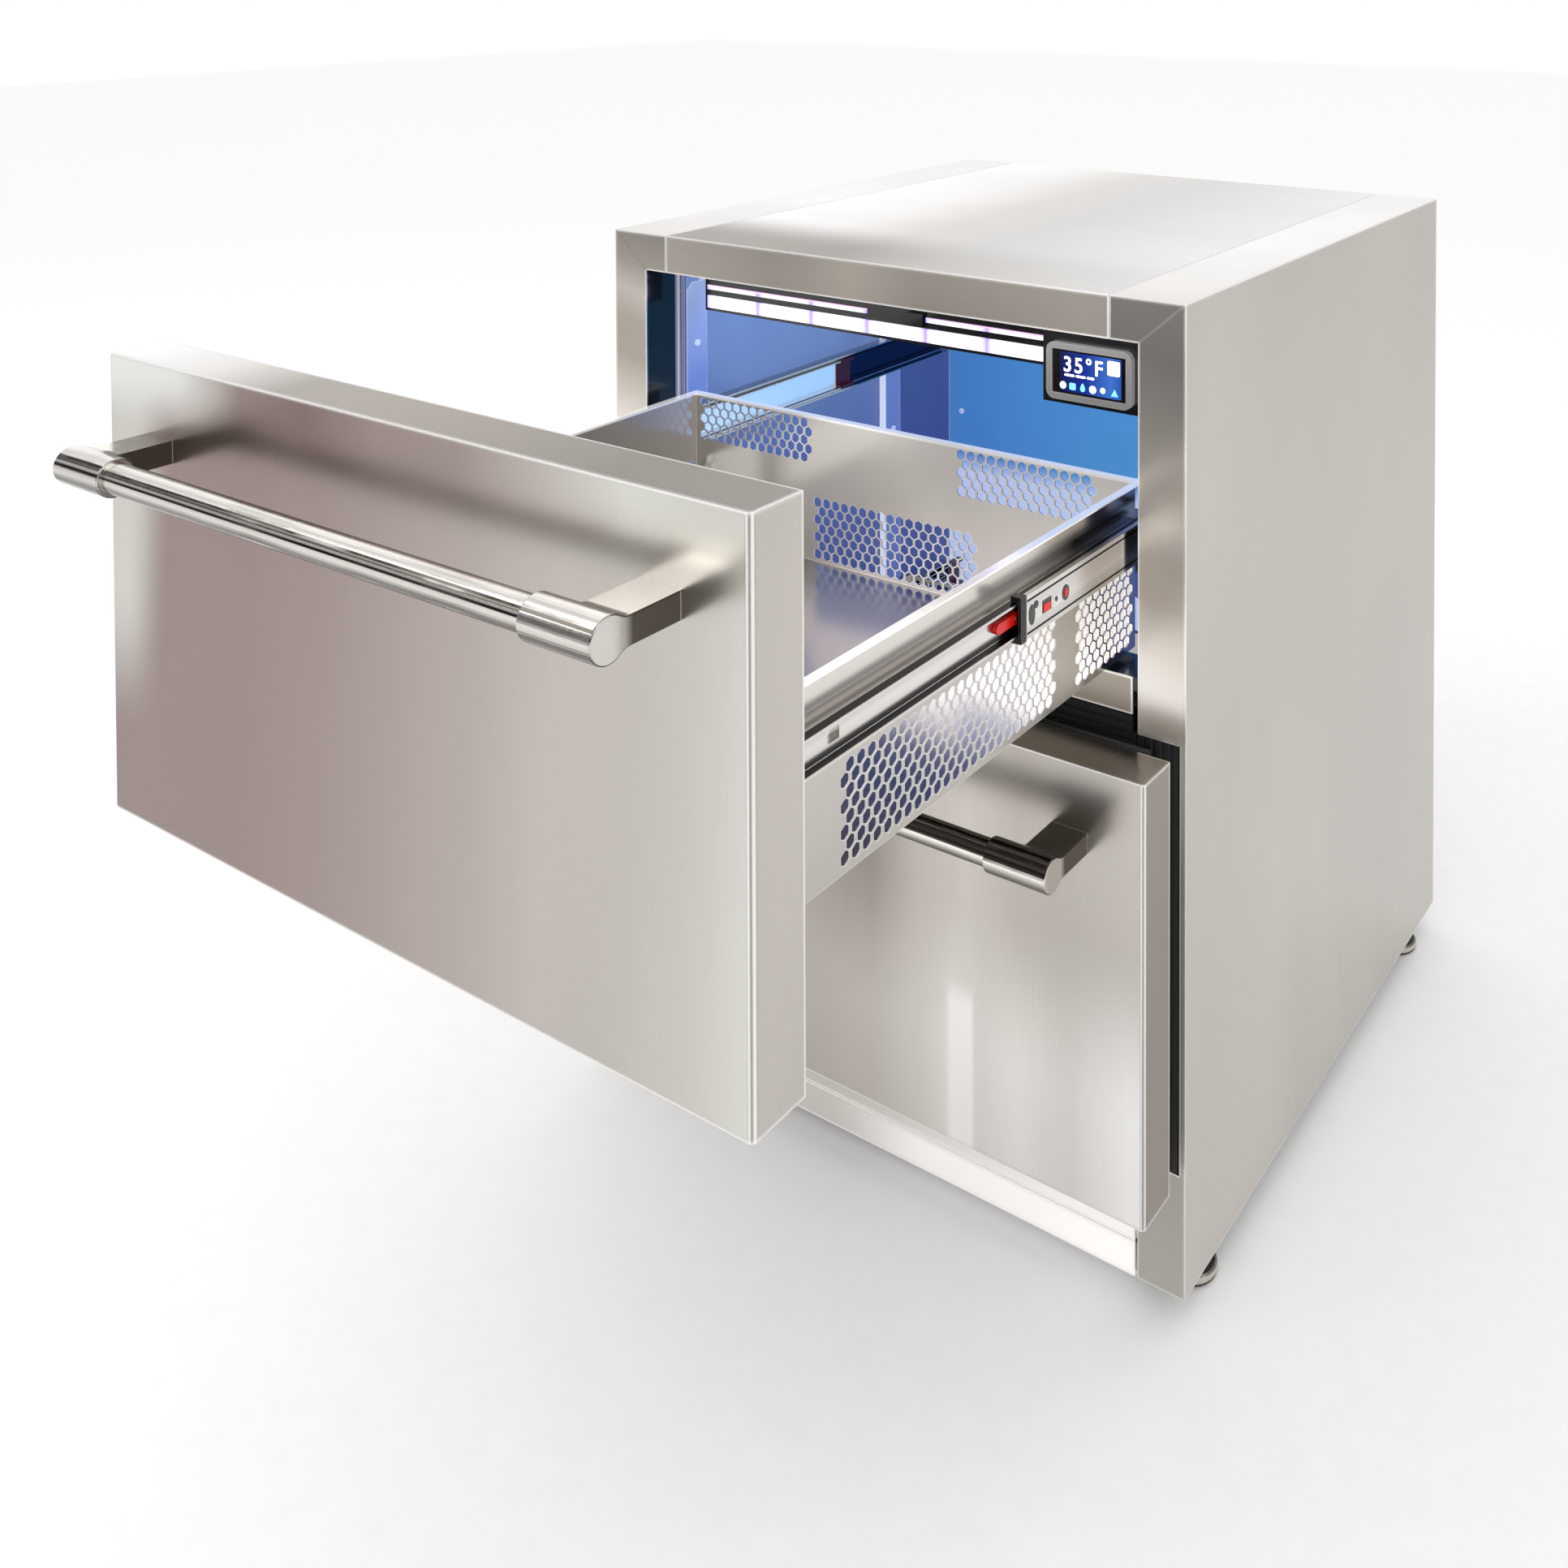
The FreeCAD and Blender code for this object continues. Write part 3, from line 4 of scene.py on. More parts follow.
import bmesh
import bpy
from mathutils import Euler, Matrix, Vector


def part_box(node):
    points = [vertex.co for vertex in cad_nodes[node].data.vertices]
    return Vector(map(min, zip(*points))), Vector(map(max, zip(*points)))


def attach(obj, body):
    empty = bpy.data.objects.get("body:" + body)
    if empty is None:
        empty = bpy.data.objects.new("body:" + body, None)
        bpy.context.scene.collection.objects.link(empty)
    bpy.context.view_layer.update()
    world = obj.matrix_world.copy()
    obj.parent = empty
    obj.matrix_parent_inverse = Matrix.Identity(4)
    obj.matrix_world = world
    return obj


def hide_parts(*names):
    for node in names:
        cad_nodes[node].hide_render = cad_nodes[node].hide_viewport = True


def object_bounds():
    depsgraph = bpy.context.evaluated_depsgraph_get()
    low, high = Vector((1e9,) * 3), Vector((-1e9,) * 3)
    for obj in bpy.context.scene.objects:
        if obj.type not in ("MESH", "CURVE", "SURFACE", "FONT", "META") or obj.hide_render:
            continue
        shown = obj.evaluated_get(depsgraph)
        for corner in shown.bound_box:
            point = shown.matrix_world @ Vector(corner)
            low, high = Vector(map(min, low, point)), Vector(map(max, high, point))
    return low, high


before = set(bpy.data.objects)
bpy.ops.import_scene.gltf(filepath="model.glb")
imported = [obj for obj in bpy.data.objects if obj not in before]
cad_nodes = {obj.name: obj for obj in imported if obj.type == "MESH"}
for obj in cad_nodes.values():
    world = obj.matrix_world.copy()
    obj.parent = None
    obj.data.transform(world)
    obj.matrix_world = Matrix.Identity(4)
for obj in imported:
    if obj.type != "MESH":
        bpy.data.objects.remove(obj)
cad_low, cad_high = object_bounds()
scene = bpy.context.scene
scene.view_settings.view_transform = "Standard"

DRAWERS = ("upper", "lower")
ACROSS = (1, 0, 0)
DEPTH = (0, 1, 0)
AHEAD = (0, -1, 0)
UP = (0, 0, 1)


# ---------------------------------------------------------------- colours and shader helpers


def linear(value):
    """Linear light of an 8-bit display value."""
    share = value / 255
    if share <= 0.04045:
        return share / 12.92
    return ((share + 0.055) / 1.055) ** 2.4


def tone(red, green, blue):
    """Linear RGBA of an 8-bit display colour."""
    return (linear(red), linear(green), linear(blue), 1.0)


def taupe(value):
    """Linear RGBA of the pinkish grey of the upper front, tinted less as it gets paler."""
    return tone(value, value - max(0, 206 - value) * 0.25, value - max(0, 232 - value) * 0.2 - 2)


def grey(value, warmth=0.0):
    """Linear RGBA of a grey; warmth lowers green a little and blue more."""
    return tone(value, value - warmth * 0.45, value - warmth)


def tones(*stops):
    """Ramp stops from (place, red, green, blue)."""
    return [(place, tone(red, green, blue)) for place, red, green, blue in stops]


def taupes(*stops):
    """Ramp stops from (place, value)."""
    return [(place, taupe(value)) for place, value in stops]


def greys(*stops):
    """Ramp stops from (place, value, warmth)."""
    return [(place, grey(value, warmth)) for place, value, warmth in stops]


class Shader:
    """One node-based material, with short calls for the nodes used here."""

    def __init__(self, name, metallic=0.0, roughness=0.5):
        self.material = bpy.data.materials.new(name)
        self.material.use_nodes = True
        self.tree = self.material.node_tree
        self.surface = self.tree.nodes["Principled BSDF"]
        self.surface.inputs["Metallic"].default_value = metallic
        self.surface.inputs["Roughness"].default_value = roughness
        self.place = self.tree.nodes.new("ShaderNodeTexCoord").outputs["Object"]

    def add(self, kind, **settings):
        node = self.tree.nodes.new(kind)
        for key, value in settings.items():
            setattr(node, key, value)
        return node

    def feed(self, socket, value):
        """Link an output to an input, or set the input to a plain value."""
        if isinstance(value, bpy.types.NodeSocket):
            self.tree.links.new(value, socket)
        else:
            socket.default_value = value

    def set(self, name, value):
        self.feed(self.surface.inputs[name], value)

    def maths(self, operation, first, second=0.0):
        node = self.add("ShaderNodeMath", operation=operation)
        self.feed(node.inputs[0], first)
        self.feed(node.inputs[1], second)
        return node.outputs[0]

    def product(self, *values):
        result = values[0]
        for value in values[1:]:
            result = self.maths("MULTIPLY", result, value)
        return result

    def dot(self, first, second):
        node = self.add("ShaderNodeVectorMath", operation="DOT_PRODUCT")
        self.feed(node.inputs[0], first)
        self.feed(node.inputs[1], second)
        return node.outputs["Value"]

    def scaled(self, scale, turn=(0, 0, 0)):
        node = self.add("ShaderNodeMapping")
        self.feed(node.inputs["Vector"], self.place)
        node.inputs["Scale"].default_value = scale
        node.inputs["Rotation"].default_value = turn
        return node.outputs["Vector"]

    def noise(self, scale, detail=2.0, rough=0.5, turn=(0, 0, 0)):
        """Noise in repeats per metre; scale is one number, or one along each of X, Y and Z."""
        scales = scale if isinstance(scale, tuple) else (scale, scale, scale)
        node = self.add("ShaderNodeTexNoise")
        self.feed(node.inputs["Vector"], self.scaled(scales, turn))
        node.inputs["Scale"].default_value = 1.0
        node.inputs["Detail"].default_value = detail
        node.inputs["Roughness"].default_value = rough
        return node.outputs["Fac"]

    def along(self, direction):
        """Distance along a direction, in metres."""
        return self.dot(self.place, direction)

    def true_normal(self):
        return self.add("ShaderNodeNewGeometry").outputs["True Normal"]

    def facing(self, axis):
        """How much a face looks along an axis, from -1 to 1, before any bump."""
        return self.dot(self.true_normal(), axis)

    def span(self, value, low, high, out_low=0.0, out_high=1.0, smooth=False):
        node = self.add("ShaderNodeMapRange", clamp=True)
        if smooth:
            node.interpolation_type = "SMOOTHSTEP"
        self.feed(node.inputs["Value"], value)
        node.inputs["From Min"].default_value = low
        node.inputs["From Max"].default_value = high
        node.inputs["To Min"].default_value = out_low
        node.inputs["To Max"].default_value = out_high
        return node.outputs["Result"]

    def looking(self, axis):
        """1 on faces that look along an axis, 0 on the others."""
        return self.span(self.facing(axis), 0.8, 0.95)

    def upward(self):
        return self.span(self.facing(UP), 0.6, 0.8)

    def varied(self, noise, low, high):
        """The middle of a noise, stretched over low to high."""
        return self.span(noise, 0.3, 0.7, low, high)

    def ramp(self, value, stops):
        """Colours at values; stops are (value, colour), lowest first."""
        low, high = stops[0][0], stops[-1][0]
        node = self.add("ShaderNodeValToRGB")
        self.feed(node.inputs["Fac"], self.span(value, low, high))
        band = node.color_ramp
        band.elements[0].color = stops[0][1]
        band.elements[1].color = stops[-1][1]
        for at, colour in stops[1:-1]:
            band.elements.new((at - low) / (high - low)).color = colour
        return node.outputs["Color"]

    def mix(self, share, first, second, blend="MIX"):
        node = self.add("ShaderNodeMix", data_type="RGBA", blend_type=blend)
        self.feed(node.inputs["Factor"], share)
        self.feed(node.inputs[6], first)
        self.feed(node.inputs[7], second)
        return node.outputs[2]

    def bump(self, height, strength):
        node = self.add("ShaderNodeBump")
        self.feed(node.inputs["Height"], height)
        node.inputs["Strength"].default_value = strength
        node.inputs["Distance"].default_value = 0.0002
        self.set("Normal", node.outputs["Normal"])

    def lean(self, radius):
        """Nought on flats, rising within a radius of an edge or a fold."""
        soft = self.add("ShaderNodeBevel", samples=6)
        soft.inputs["Radius"].default_value = radius
        return self.maths("SUBTRACT", 1.0, self.dot(soft.outputs["Normal"], self.true_normal()))

    def edged(self, colour, radius, bright, shade=0.35):
        """A colour with a painted highlight line along each edge and a painted darker shade line beside it.
        """
        lean = self.lean(radius)
        beside = self.mix(self.span(lean, 0.002, 0.02, 0.0, shade), colour, grey(70, 8))
        return self.mix(self.span(lean, 0.03, 0.10), beside, bright)

    def glow(self, colour, strength):
        self.set("Emission Color", colour)
        self.set("Emission Strength", strength)


# ---------------------------------------------------------------- steel


GRAIN_ALONG, GRAIN_ACROSS = 40.0, 1800.0
SMEAR_ALONG, SMEAR_ACROSS = 1.6, 7.0
GRAIN_DEPTH = 0.025
# colour of the painted highlight lines along the edges
EDGE_HIGHLIGHT = grey(246, 5)
UPPER_SLIDE_HEIGHT = 0.6595
LOWER_SLIDE_HEIGHT = 0.335


def stretched(axis, along, across):
    """Noise scale of streaks that run along one axis."""
    return tuple(along if name == axis else across for name in "xyz")


def steel(name, colour, grain="z", roughness=0.27, smear=0.05, edge=0.0038, shade=0.5, lit=None):
    """Brushed steel: fine grain along one axis, wide soft smears and painted highlights along the edges.

    colour is RGBA, or a function of the shader that returns a colour output. lit is a function that
    returns how much light of the same colour to add, where the sheet faces a bright place that the
    studio does not have.
    """
    shader = Shader(name, metallic=1.0, roughness=roughness)
    base = colour(shader) if callable(colour) else colour
    fine = shader.noise(stretched(grain, GRAIN_ALONG, GRAIN_ACROSS), detail=3.0, rough=0.6)
    wide = shader.noise(stretched(grain, SMEAR_ALONG, SMEAR_ACROSS), turn=(0.0, 0.25, 0.0))
    fine_tone = shader.varied(fine, 1 - GRAIN_DEPTH, 1 + GRAIN_DEPTH)
    wide_tone = shader.varied(wide, 1 - smear, 1 + smear)
    both = shader.product(fine_tone, wide_tone)
    tint = shader.add("ShaderNodeCombineColor")
    for channel in range(3):
        shader.feed(tint.inputs[channel], both)
    body = shader.mix(1.0, base, tint.outputs[0], "MULTIPLY")
    # painted highlight and shade lines along the edges
    edge_lit_colour = shader.edged(body, edge, EDGE_HIGHLIGHT, shade)
    shader.set("Base Color", edge_lit_colour)
    shader.set("Roughness", shader.varied(wide, roughness - 0.03, roughness + 0.05))
    if lit:
        shader.glow(edge_lit_colour, lit(shader))
    return shader.material


def evenly(strength):
    """The same added light all over a sheet."""
    return lambda shader: strength


def stile_light(shader):
    """The right stile faces the bright inside of the open drawer above the middle rail."""
    stops = [(place, (level, level, level, 1.0))
             for place, level in ((0.50, 0.0), (0.58, 0.30), (0.69, 0.38), (0.74, 0.70))]
    by_height = shader.ramp(shader.along(UP), stops)
    at_right = shader.span(shader.along(ACROSS), 0.1, 0.25)
    return shader.product(by_height, at_right, shader.looking(AHEAD))


def rail_light(shader):
    """The top rail's front gets brighter to the right."""
    return shader.product(shader.span(shader.along(ACROSS), -0.08, 0.24, 0.0, 0.95), shader.looking(AHEAD))


def basket_rim(shader, share=1.0):
    """The folded rim along the top of the upper basket."""
    return shader.span(shader.along(UP), 0.698, 0.6995, 0.0, share)


def basket_light(shader):
    """The basket's back wall, its rim and parts of its side walls catch the light bar."""
    across, depth = shader.along(ACROSS), shader.along(DEPTH)
    back = shader.product(shader.looking(AHEAD), shader.span(across, -0.25, 0.05, 0.15, 0.70))
    left = shader.product(shader.span(across, 0.0, -0.1), shader.span(depth, -0.12, 0.04, 0.0, 0.35))
    above_slide = shader.product(shader.span(across, 0.2, 0.25), shader.span(shader.along(UP), 0.668, 0.673))
    right = shader.product(above_slide, shader.span(depth, -0.06, -0.14, 0.0, 0.32))
    side = shader.product(shader.looking(ACROSS), shader.maths("MAXIMUM", left, right))
    return shader.maths("MAXIMUM", shader.maths("MAXIMUM", back, side), basket_rim(shader, 0.55))


def front_reflections(shader):
    """Painted reflections on the upper front: taupe, paler to the right, with a darker strip of painted
    handle shade and reflection along the top.
    """
    across = shader.along((1.0, 0.0, -0.10))
    height = shader.along(UP)
    # painted reflections across the sheet
    body = shader.ramp(across, taupes(
        (-0.39, 137), (-0.22, 141), (-0.14, 146), (-0.06, 156), (0.02, 166), (0.10, 180), (0.18, 184),
        (0.24, 194), (0.28, 206),
    ))
    # painted reflections and painted handle shade in the strip along the top
    head = shader.ramp(across, taupes(
        (-0.42, 228), (-0.325, 220), (-0.275, 178), (-0.245, 142), (-0.165, 126), (-0.085, 148), (0.0, 152),
        (0.075, 178), (0.155, 206), (0.235, 199),
    ))
    # painted pale reflection at the left edge, higher up
    at_left = shader.span(across, -0.325, -0.385, smooth=True)
    raised = shader.span(height, 0.56, 0.68, smooth=True)
    body = shader.mix(shader.product(at_left, raised), body, taupe(194))
    return shader.mix(shader.span(height, 0.80, 0.855, smooth=True), body, head)


def lower_front_reflections(shader):
    """Painted reflections on the lower front: a darker painted stripe in the middle, bright painted
    reflections at the foot and a narrow painted white highlight streak.
    """
    across, height = shader.along(ACROSS), shader.along(UP)
    # painted reflections across the sheet, above and at the foot
    body = shader.ramp(across, greys(
        (-0.33, 180, 12), (-0.05, 172, 14), (0.0, 158, 16), (0.053, 148, 14), (0.107, 188, 14),
        (0.16, 200, 12), (0.213, 186, 13), (0.267, 188, 12), (0.33, 196, 12),
    ))
    foot = shader.ramp(across, greys(
        (-0.33, 190, 10), (0.0, 186, 12), (0.053, 194, 12), (0.107, 212, 10), (0.145, 232, 8),
        (0.175, 222, 8), (0.213, 234, 8), (0.267, 226, 8), (0.32, 248, 4),
    ))
    tinted = shader.mix(shader.span(height, 0.36, 0.20, smooth=True), body, foot)
    # narrow painted white highlight streak near the foot
    highlight_streak = shader.product(
        shader.span(across, 0.134, 0.143, smooth=True),
        shader.span(across, 0.168, 0.163, smooth=True),
        shader.span(height, 0.275, 0.245, 0.0, 0.75, smooth=True),
    )
    return shader.mix(highlight_streak, tinted, grey(250, 4))


def paint(material, *names):
    """Give CAD nodes one material."""
    for name in names:
        slots = cad_nodes[name].data.materials
        slots.clear()
        slots.append(material)


def sided(shader, front, top, side):
    """Different tones on front, top and side faces of a folded sheet, painted as the light falls on each
    face.
    """
    outward = shader.maths("ABSOLUTE", shader.facing(ACROSS))
    sideways = shader.span(outward, 0.6, 0.8)
    return shader.mix(sideways, shader.mix(shader.upward(), front, top), side)


def rounded_corner(shader, colour):
    """Painted highlight, a painted dark reflection line and a painted highlight again round a rounded
    upright corner.
    """
    outward = shader.maths("ABSOLUTE", shader.facing(ACROSS))
    turn = shader.ramp(outward, greys(
        (0.04, 246, 5), (0.36, 246, 5), (0.52, 84, 10), (0.70, 104, 10), (0.82, 246, 5), (0.99, 246, 5),
    ))
    curved = shader.product(shader.span(outward, 0.02, 0.06), shader.span(outward, 0.995, 0.985))
    return shader.mix(curved, colour, turn)


def upper_front_tone(shader):
    # painted reflections across the top face; the side face gets a painted shade tone
    top = shader.ramp(shader.along(ACROSS), greys(
        (-0.335, 255, 2), (-0.21, 226, 8), (-0.12, 160, 18), (0.0, 160, 20), (0.12, 150, 18),
        (0.22, 136, 16), (0.335, 146, 14),
    ))
    return rounded_corner(shader, sided(shader, front_reflections(shader), top, grey(190, 12)))


def lower_front_tone(shader):
    # painted reflections across the top face; the side face gets a darker painted shade tone
    top = shader.ramp(shader.along(ACROSS), greys((-0.335, 190, 10), (0.15, 205, 10), (0.335, 168, 18)))
    return rounded_corner(shader, sided(shader, lower_front_reflections(shader), top, grey(150, 16)))


def cabinet_tone(shader):
    """Side sheets and stiles with painted light: a nearly even side, painted a little darker higher up and
    towards the back, a pale painted top, and a stile whose painted reflections change in bands up its
    height.
    """
    # painted shade on the side: a little darker higher up and towards the back
    upright = shader.ramp(shader.along(UP), greys(
        (0.03, 208, 11), (0.25, 203, 11), (0.45, 196, 12), (0.87, 191, 12),
    ))
    side = shader.mix(shader.span(shader.along(DEPTH), 0.0, 0.65, 0.0, 0.3), upright, grey(168, 14))
    # painted reflections in bands up the stile
    stile = shader.ramp(shader.along((0.2, 0, 1)), greys(
        (0.08, 192, 10), (0.25, 170, 13), (0.32, 160, 13), (0.46, 160, 13), (0.50, 196, 12),
        (0.53, 220, 10), (0.60, 226, 12), (0.64, 196, 15), (0.68, 167, 19), (0.72, 168, 16),
        (0.75, 190, 14), (0.78, 158, 14), (0.82, 140, 12), (0.89, 114, 8), (0.94, 118, 10),
    ))
    top = shader.ramp(shader.along(DEPTH), greys((0.0, 226, 8), (0.25, 244, 4), (0.65, 234, 6)))
    return sided(shader, stile, top, side)


def top_tone(shader):
    """Top sheet and its front rail, with painted reflections changing across the width and a painted shade
    tone on the side faces.
    """
    across = shader.along(ACROSS)
    # painted reflections across the rail, the top's front edge and the top behind it
    rail = shader.ramp(across, greys(
        (-0.27, 165, 15), (-0.12, 150, 14), (-0.02, 162, 15), (0.06, 142, 13), (0.27, 135, 12),
    ))
    front_edge = shader.ramp(across, greys(
        (-0.27, 136, 12), (-0.15, 144, 20), (-0.05, 142, 16), (0.05, 182, 10), (0.27, 218, 6),
    ))
    behind = shader.ramp(across, greys(
        (-0.27, 250, 2), (-0.15, 240, 6), (-0.05, 212, 10), (0.05, 205, 6), (0.27, 230, 4),
    ))
    back = shader.span(shader.along(DEPTH), 0.04, 0.15, smooth=True)
    return sided(shader, rail, shader.mix(back, front_edge, behind), grey(150, 12))


def kick_tone(shader):
    """Kick plate and cross rails with painted reflections: the plate is grey at the left, almost white low
    at the right, and pale near the floor.
    """
    across, height = shader.along(ACROSS), shader.along(UP)
    # painted reflections by height: pale near the floor, darker higher up
    plate = shader.ramp(height, greys(
        (0.025, 240, 5), (0.050, 240, 5), (0.062, 200, 8), (0.150, 204, 10), (0.30, 150, 18),
        (0.55, 146, 18),
    ))
    low = shader.span(height, 0.30, 0.20)
    # painted near-white highlight low at the right
    right = shader.product(low, shader.span(across, 0.0, 0.27, 0.0, 0.75, smooth=True))
    # painted darker reflection at the left
    left = shader.span(across, 0.08, -0.06, 0.0, 0.85, smooth=True)
    return shader.mix(left, shader.mix(right, plate, grey(252, 3)), grey(182, 10))


def folded_steel():
    paint(steel("upper_front_steel", upper_front_tone), "upper_front")
    paint(steel("lower_front_steel", lower_front_tone), "lower_front")
    paint(steel("cabinet_steel", cabinet_tone, lit=stile_light), "side_panel_left", "side_panel_right")
    paint(steel("top_steel", top_tone, grain="x", lit=rail_light), "top_panel")
    paint(steel("rail_steel", kick_tone, grain="x", lit=evenly(0.34)), "kick_plate", "cross_rails")
    plate = steel("plate_steel", grey(206, 6), grain="x", roughness=0.36, lit=evenly(0.55))
    paint(plate, "upper_front_plate", "lower_front_plate")


# painted reflections on the upper bar, by how much each face looks up
UPPER_HANDLE_REFLECTIONS = (
    (-1.0, 56), (-0.68, 66), (-0.62, 196), (-0.55, 72), (-0.35, 96), (-0.20, 150), (-0.05, 200),
    (0.20, 214), (0.27, 84), (0.34, 30), (0.41, 240), (0.48, 248), (0.54, 110), (0.64, 92),
    (0.70, 34), (0.79, 226), (0.90, 205), (0.96, 236), (1.0, 246),
)
# darker painted reflections on the lower bar, of the shade under the open upper drawer
LOWER_HANDLE_REFLECTIONS = (
    (-1.0, 60), (-0.60, 70), (-0.45, 120), (-0.30, 158), (-0.12, 196), (0.05, 232), (0.14, 240),
    (0.22, 120), (0.34, 72), (0.50, 58), (0.62, 96), (0.70, 56), (0.80, 62), (0.88, 150),
    (0.94, 84), (1.0, 96),
)
HANDLE_WARMTH = 10


def handle_steel(name, bands):
    """Polished handle metal with painted reflections as dark and pale lines along the bar and painted shade
    on the sides of the arms; bands are (lean, tone) pairs.
    """
    shader = Shader(name + "_handle_steel", metallic=1.0, roughness=0.16)
    bar_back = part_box(name + "_handle_bar")[1].y
    turn = shader.maths("ADD", shader.facing(UP), shader.varied(shader.noise(14.0), -0.05, 0.05))
    colour = shader.ramp(turn, greys(*[(lean, value, HANDLE_WARMTH) for lean, value in bands]))
    # painted shade on the side faces of the bracket arms behind the bar
    sideways = shader.span(shader.facing(ACROSS), 0.55, 0.85)
    arm = shader.product(sideways, shader.span(shader.along(DEPTH), bar_back, bar_back + 0.006))
    colour = shader.mix(arm, colour, grey(104, 12))
    shader.set("Base Color", shader.edged(colour, 0.0012, EDGE_HIGHLIGHT, 0.3))
    shader.set("Roughness", shader.varied(shader.noise((500.0, 40.0, 40.0)), 0.12, 0.22))
    return shader.material


def basket_tone(shader):
    """Basket sheet with painted reflections: taupe walls, a pale rim of painted highlight, and a floor with
    painted shade near the front and a painted bright reflection on its right further back.
    """
    across, depth, height = shader.along(ACROSS), shader.along(DEPTH), shader.along(UP)
    # painted reflections up the walls
    wall = shader.ramp(shader.along((0.25, 0, 1)), greys(
        (0.17, 172, 10), (0.38, 205, 8), (0.50, 170, 12), (0.72, 196, 10),
    ))
    # painted shade on the floor near the front, paler further back
    far_floor = shader.ramp(depth, tones(
        (-0.47, 106, 100, 96), (-0.36, 132, 126, 128), (-0.20, 166, 160, 166), (0.45, 176, 171, 180),
    ))
    near_floor = shader.ramp(depth, tones(
        (-0.36, 84, 80, 92), (-0.20, 120, 116, 134), (-0.08, 252, 250, 255),
    ))
    floor = shader.mix(shader.span(across, 0.06, 0.17), far_floor, near_floor)
    floor_faces = shader.product(shader.upward(), shader.span(height, 0.60, 0.59))
    inner = shader.mix(floor_faces, wall, floor)
    # pale painted highlight along the folded rim
    return shader.mix(basket_rim(shader), inner, grey(236, 2))


def left_inside(shader):
    """1 on the faces of the left slides that the blue light inside reaches."""
    at_left = shader.span(shader.along(ACROSS), -0.2, -0.25)
    behind_front = shader.span(shader.along(DEPTH), 0.01, 0.03)
    return shader.product(at_left, shader.looking(ACROSS), behind_front)


def slide_tone(shader):
    """Rolled slide members: pale faces with a painted black shadow line in the channel along the top and the
    bottom, a second black line on the outer face, and painted blue light on the left slides.
    """
    height = shader.along(UP)
    from_upper = shader.maths("ABSOLUTE", shader.maths("SUBTRACT", height, UPPER_SLIDE_HEIGHT))
    from_lower = shader.maths("ABSOLUTE", shader.maths("SUBTRACT", height, LOWER_SLIDE_HEIGHT))
    off_centre = shader.maths("MINIMUM", from_upper, from_lower)
    out = shader.maths("ABSOLUTE", shader.along(ACROSS))
    pale = shader.ramp(shader.noise((3.0, 1.2, 60.0)), greys((0.36, 184, 8), (0.50, 208, 9), (0.64, 226, 7)))
    # painted black shadow line in the channel, at the top and the bottom
    channel_shadow = shader.product(shader.span(off_centre, 0.0102, 0.0106), shader.span(out, 0.2842, 0.2838))
    groove = shader.product(
        shader.span(off_centre, 0.0116, 0.0120),
        shader.span(off_centre, 0.0138, 0.0134),
        shader.span(out, 0.2870, 0.2880),
    )
    # painted blue light on the left slides ahead of the catch, darker blue behind it
    behind_catch = shader.span(shader.along(DEPTH), 0.30, 0.33)
    left = shader.mix(behind_catch, tone(190, 218, 240), tone(52, 54, 84))
    web = shader.mix(left_inside(shader), pale, left)
    return shader.mix(shader.maths("MAXIMUM", channel_shadow, groove), web, grey(22))


def slide_light(shader):
    ahead_of_catch = shader.span(shader.along(DEPTH), 0.33, 0.30, 0.0, 0.60)
    return shader.product(left_inside(shader), ahead_of_catch)


def galvanised():
    """Zinc-coated sheet with its crystal pattern."""
    shader = Shader("galvanised", metallic=0.85, roughness=0.42)
    crystals = shader.add("ShaderNodeTexVoronoi")
    shader.feed(crystals.inputs["Vector"], shader.scaled((170.0, 170.0, 170.0)))
    crystals.inputs["Scale"].default_value = 1.0
    spangle = shader.add("ShaderNodeSeparateColor")
    shader.feed(spangle.inputs[0], crystals.outputs["Color"])
    shader.set("Base Color", shader.ramp(spangle.outputs[0], greys((0.0, 170, 0), (1.0, 190, 3))))
    shader.set("Roughness", shader.span(spangle.outputs[1], 0.0, 1.0, 0.34, 0.52))
    return shader.material


# ---------------------------------------------------------------- plastics, rubber and the rest


def moulded(name, colour, roughness, coat=0.0):
    """Moulded plastic or rubber: fine texture in tone, gloss and surface."""
    shader = Shader(name, roughness=roughness)
    fine = shader.noise(1200.0)
    patch = shader.noise(22.0, detail=3.0)
    speckle = 0.15
    dark = tuple(part * (1 - speckle) for part in colour[:3]) + (1.0,)
    light = tuple(min(1.0, part * (1 + speckle)) for part in colour[:3]) + (1.0,)
    shader.set("Base Color", shader.ramp(patch, [(0.3, dark), (0.7, light)]))
    shader.set("Roughness", shader.varied(fine, roughness * 0.85, min(1.0, roughness * 1.15)))
    shader.set("Coat Weight", coat)
    shader.bump(fine, 0.15)
    return shader.material


def inside(name, colour, lit=0.72):
    """Inside sheet washed by the blue light, which is painted in as its colour and a glow; colour is a
    function of the shader.
    """
    shader = Shader(name, metallic=0.2, roughness=0.35)
    wash = colour(shader)
    shader.set("Base Color", shader.mix(0.62, wash, tone(8, 10, 24)))
    shader.glow(shader.edged(wash, 0.0014, tone(226, 232, 252), 0.25), lit)
    shader.bump(shader.noise((700.0, 700.0, 10.0)), 0.05)
    return shader.material


def cloudy(shader, direction, size=0.05):
    """Distance along a direction, blurred by a soft cloud."""
    cloud = shader.noise((6.0, 6.0, 4.0))
    return shader.maths("ADD", shader.along(direction), shader.varied(cloud, -size, size))


